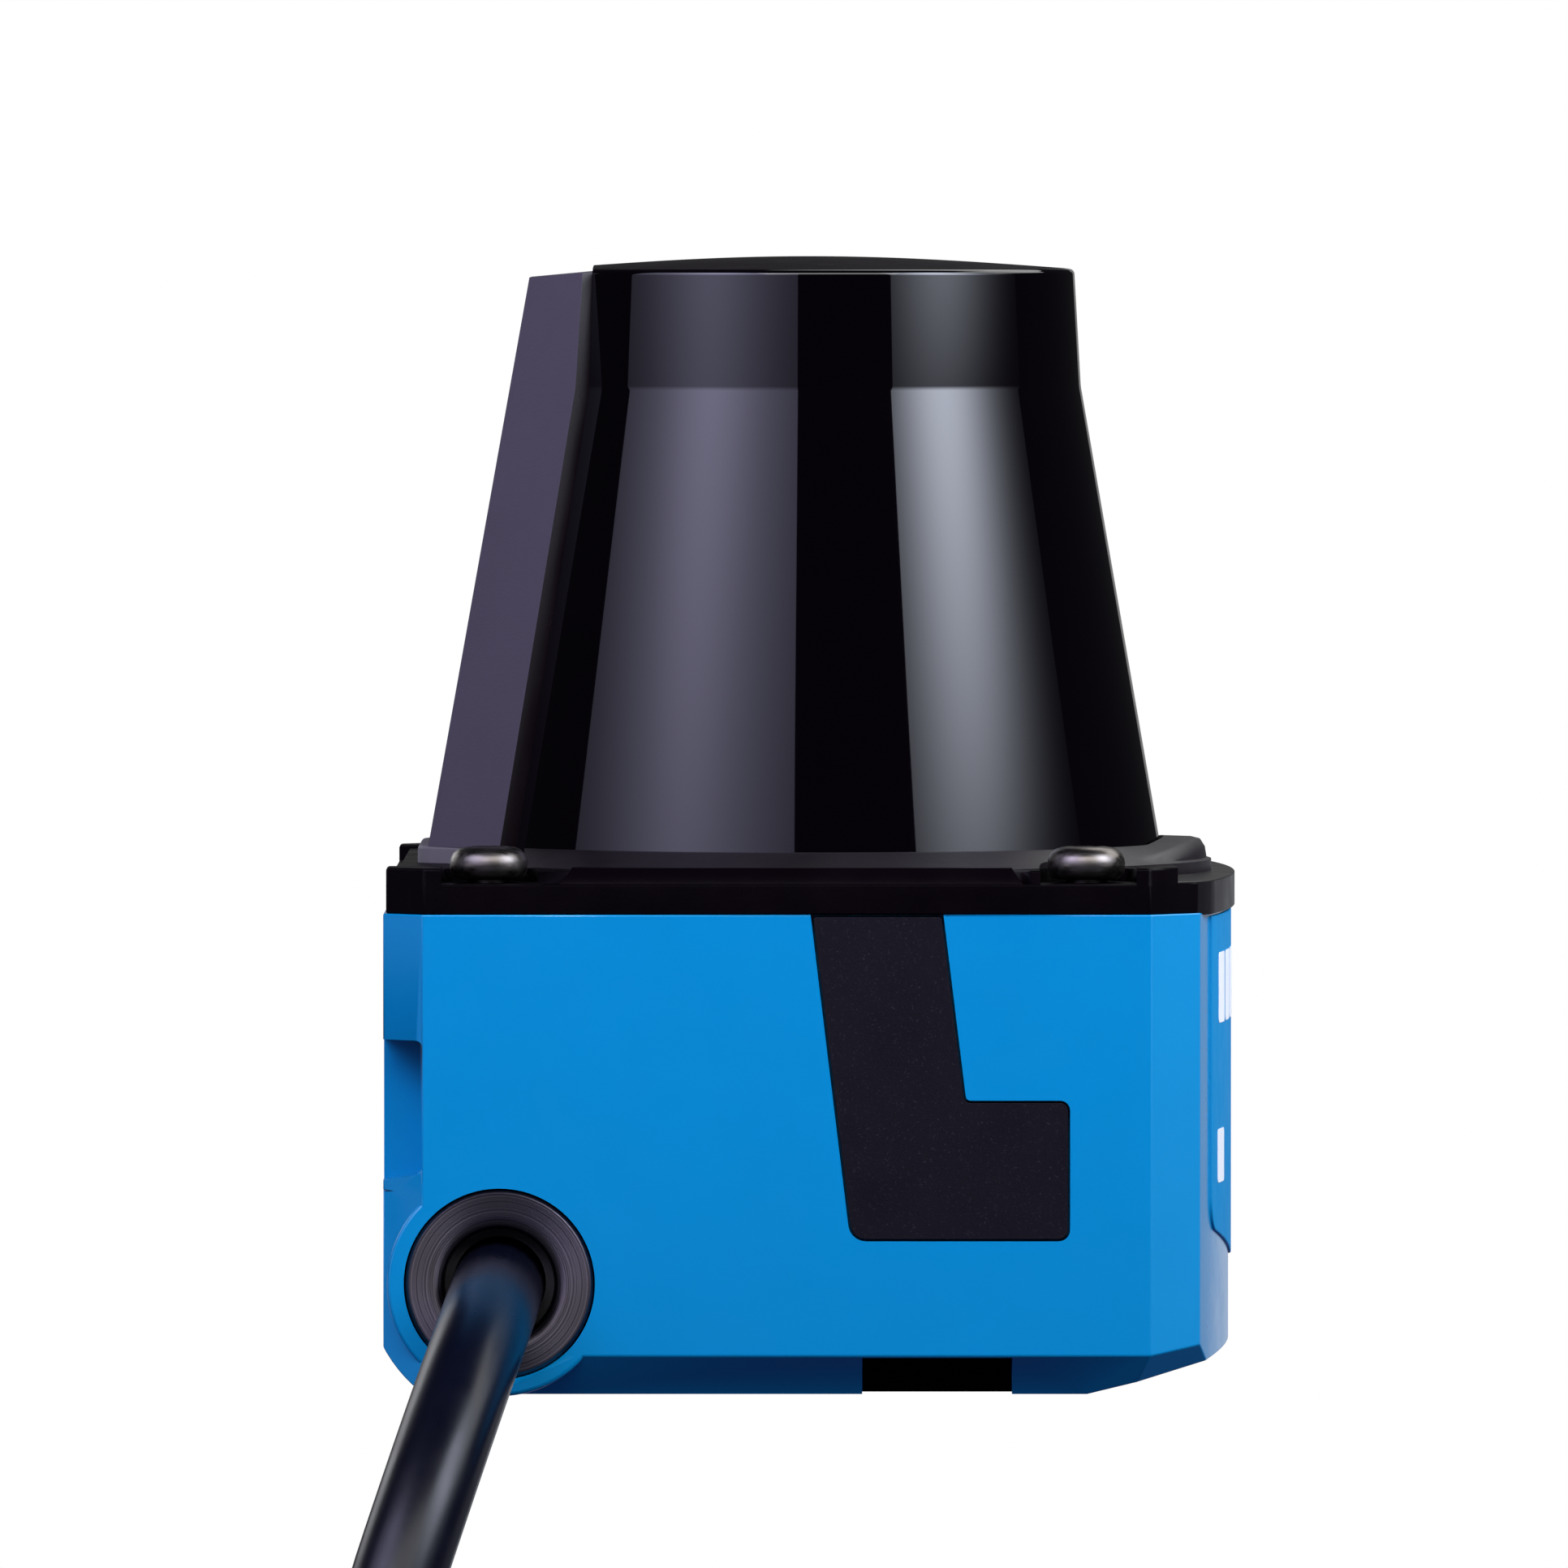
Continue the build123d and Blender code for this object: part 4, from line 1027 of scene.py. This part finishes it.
# ---- Materials of the CAD nodes that show as they are -----------------------------------------
FINISHES = {
    "threaded_inserts": brass,
    "gland_seal": rubber_black,
    "gland_nut": plain_steel,
    "usb_socket": plain_steel,
    "main_board": board_green,
    "board_components": chip_black,
    "board_spacers": brass,
    "board_screws": plain_steel,
    "lead_connector": chip_black,
    "hood_gasket": rubber_black,
    "optics_chassis": aluminium,
    "chassis_screws": plain_steel,
    "motor_stator": plain_steel,
    "stator_coils": copper,
    "bearing_outer_rings": plain_steel,
    "encoder_sensor": chip_black,
    "receiver_holder": anodised,
    "receiver_lens": optical_glass,
    "laser_module": brass,
    "collimator_lens": optical_glass,
    "receiver_board": board_green,
    "photodiode": chip_black,
    "ribbon_cable": flex_amber,
    "plug_insert": chip_black,
    "plug_pins": gold,
    "rotor_hub": aluminium,
    "bearing_inner_rings": plain_steel,
    "magnet_ring": magnet_grey,
    "encoder_disc": plain_steel,
    "mirror_carrier": anodised,
    "receiving_mirror": mirror_coat,
    "emitter_mirror": mirror_coat,
    "balance_weight": brass,
    "rotor_screws": plain_steel,
}
for node, material in FINISHES.items():
    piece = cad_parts[node]
    piece.data.materials.clear()
    piece.data.materials.append(material)

# ---- Studio -----------------------------------------------------------------------------------
RADIANCE_TO_WATTS = 2.47  # watts for each square metre of a light whose brightness is one
FLOOR_Z = -0.6


def aim(azimuth, elevation, distance, height=50.0):
    """A place round the hood in metres. Azimuth runs from the camera's side towards +X."""
    a, e = math.radians(azimuth), math.radians(elevation)
    spread = Vector((math.sin(a) * math.cos(e), -math.cos(a) * math.cos(e), math.sin(e)))
    return Vector((0, 0, height * MM)) + spread * distance * MM


def area_light(name, place, facing, size, radiance, colour=(1, 1, 1)):
    """A soft rectangular light of a given brightness, hidden from the camera."""
    light = bpy.data.lights.new(name, "AREA")
    light.shape = "RECTANGLE"
    light.size, light.size_y = (side * MM for side in size)
    light.energy = radiance * RADIANCE_TO_WATTS * light.size * light.size_y
    light.color = colour
    lamp = bpy.data.objects.new(name, light)
    lamp.location = place
    lamp.rotation_euler = facing.to_track_quat("-Z", "Y").to_euler()
    lamp.visible_camera = False
    bpy.context.scene.collection.objects.link(lamp)
    return light


def sums(tree):
    """A short way to add math nodes to a node tree."""

    def node(operation, first, second=0.0):
        made = tree.nodes.new("ShaderNodeMath")
        made.operation = operation
        for socket, value in zip(made.inputs, (first, second)):
            if isinstance(value, (int, float)):
                socket.default_value = value
            else:
                tree.links.new(value, socket)
        return made.outputs["Value"]

    return node


def ramp(tree, value, low, high):
    """A node that grows from nought at low to one at high."""
    made = tree.nodes.new("ShaderNodeMapRange")
    made.inputs["From Min"].default_value = low
    made.inputs["From Max"].default_value = high
    tree.links.new(value, made.inputs["Value"])
    return made.outputs["Result"]


def glowing_panel(name, azimuth, distance, sides, heights, rise, fade, colour, radiance):
    """An upright soft panel, brighter towards its top and fading to its sides.

    sides and heights are its edges, rise the heights between which it grows to full brightness, and fade
    the width and the power of its sideways fall.
    """
    turn = math.radians(azimuth)
    along = Vector((math.cos(turn), math.sin(turn), 0))
    place = aim(azimuth, 0, distance, sum(heights) / 2) + along * sum(sides) / 2 * MM
    size = (sides[1] - sides[0], heights[1] - heights[0])
    light = area_light(name, place, -aim(azimuth, 0, 1, 0), size, radiance, colour)
    light.use_nodes = True
    tree = light.node_tree
    node = sums(tree)
    spot = tree.nodes.new("ShaderNodeNewGeometry").outputs["Position"]
    split = tree.nodes.new("ShaderNodeSeparateXYZ")
    tree.links.new(spot, split.inputs["Vector"])
    along_x = node("MULTIPLY", split.outputs["X"], along.x / (fade[0] * MM))
    along_y = node("MULTIPLY", split.outputs["Y"], along.y / (fade[0] * MM))
    aside = node("ADD", along_x, along_y)
    squared = node("ADD", node("MULTIPLY", aside, aside), 1.0)
    fall = node("POWER", squared, -fade[1])
    glow = node("MULTIPLY", fall, ramp(tree, split.outputs["Z"], rise[0] * MM, rise[1] * MM))
    tree.links.new(glow, tree.nodes["Emission"].inputs["Strength"])
    return light


# Set so that their reflections in the window are close to those on the real scanner.
PANELS = (
    # name, azimuth, distance, sides, heights, rise, fade, colour, radiance
    ("left_panel", -42, 250, (-204, 190), (58, 330), (58, 200), (95, 1.0), (0.71, 0.69, 1.0), 10.5),
    ("right_panel", 58.5, 250, (-112, 210), (85, 330), (86, 150), (199, 6.0), (0.80, 0.85, 1.0), 18.5),
    ("back_left_panel", -138, 420, (-260, 260), (30, 240), (30, 130), (170, 2.0), (0.95, 0.96, 1.0), 3.2),
    ("left_low_panel", -58, 400, (-100, 100), (-20, 84), (-20, 30), (120, 2.0), (0.9, 0.92, 1.0), 1.7),
    ("right_low_panel", 58, 400, (-100, 100), (-20, 84), (-20, 30), (120, 2.0), (0.9, 0.92, 1.0), 1.7),
)
for panel in PANELS:
    glowing_panel(*panel)
centre = aim(0, 0, 0)
for name, azimuth, elevation, distance, size, radiance in (
    ("front_light", 10, 38, 900, (900, 400), 5.3),
    ("right_light", 112, 38, 600, (400, 300), 3.5),
    ("back_right_light", 155, 45, 600, (400, 300), 2.5),
    ("backdrop_glow", 180, 4, 1500, (800, 340), 0.35),
):
    place = aim(azimuth, elevation, distance)
    area_light(name, place, centre - place, size, radiance)


def studio_floor():
    """A plane of light in place of the studio's floor. The camera doesn't see it, only its light.

    It isn't evenly pale: it is dark blue below the object, grey round about, nearly black far out in front,
    grey again far out at the sides, and palest straight behind. The white surroundings show in its place.
    """
    mesh = bpy.data.meshes.new("studio_floor")
    reach = 30.0
    corners = [(reach * x, reach * y, FLOOR_Z) for x, y in ((-1, -1), (1, -1), (1, 1), (-1, 1))]
    mesh.from_pydata(corners, [], [(0, 1, 2, 3)])
    floor = bpy.data.objects.new("studio_floor", mesh)
    bpy.context.scene.collection.objects.link(floor)
    material = bpy.data.materials.new("floor_glow")
    material.use_nodes = True
    tree = material.node_tree
    tree.nodes.remove(tree.nodes["Principled BSDF"])
    node = sums(tree)
    place = tree.nodes.new("ShaderNodeTexCoord").outputs["Object"]
    split = tree.nodes.new("ShaderNodeSeparateXYZ")
    tree.links.new(place, split.inputs["Vector"])
    across, back = split.outputs["X"], split.outputs["Y"]
    away = node("SQRT", node("ADD", node("MULTIPLY", across, across), node("MULTIPLY", back, back)))

    def layer(below, amount, colour):
        mix = tree.nodes.new("ShaderNodeMix")
        mix.data_type = "RGBA"
        if isinstance(below, tuple):
            mix.inputs["A"].default_value = (*below, 1)
        else:
            tree.links.new(below, mix.inputs["A"])
        tree.links.new(amount, mix.inputs["Factor"])
        mix.inputs["B"].default_value = (*colour, 1)
        return mix.outputs["Result"]

    tone = layer((0.028, 0.042, 0.125), ramp(tree, away, 1.9, 3.8), (0.20, 0.21, 0.24))
    tone = layer(tone, ramp(tree, away, 3.8, 14.0), (0.02, 0.02, 0.03))
    beside = ramp(tree, node("DIVIDE", back, away), -0.85, -0.65)
    far = ramp(tree, away, 3.8, 12.0)
    tone = layer(tone, node("MULTIPLY", beside, far), (0.3, 0.3, 0.33))
    middle = ramp(tree, node("ABSOLUTE", node("DIVIDE", across, back)), 0.36, 0.24)
    tone = layer(tone, node("MULTIPLY", ramp(tree, back, 0.5, 2.8), middle), (0.6, 0.62, 0.66))
    glow = tree.nodes.new("ShaderNodeEmission")
    tree.links.new(tone, glow.inputs["Color"])
    tree.links.new(glow.outputs["Emission"], tree.nodes["Material Output"].inputs["Surface"])
    mesh.materials.append(material)
    floor.visible_camera = False


studio_floor()

world = bpy.data.worlds.new("studio")
bpy.context.scene.world = world
world.use_nodes = True
nodes, links = world.node_tree.nodes, world.node_tree.links
backdrop = nodes["Background"]
backdrop.inputs["Color"].default_value = (1, 1, 1, 1)
fill = nodes.new("ShaderNodeBackground")
fill.inputs["Color"].default_value = (0.55, 0.55, 0.60, 1)
fill.inputs["Strength"].default_value = 0.03
ray = nodes.new("ShaderNodeLightPath")
mix = nodes.new("ShaderNodeMixShader")
links.new(ray.outputs["Is Camera Ray"], mix.inputs["Fac"])
links.new(fill.outputs["Background"], mix.inputs[1])
links.new(backdrop.outputs["Background"], mix.inputs[2])
links.new(mix.outputs["Shader"], nodes["World Output"].inputs["Surface"])
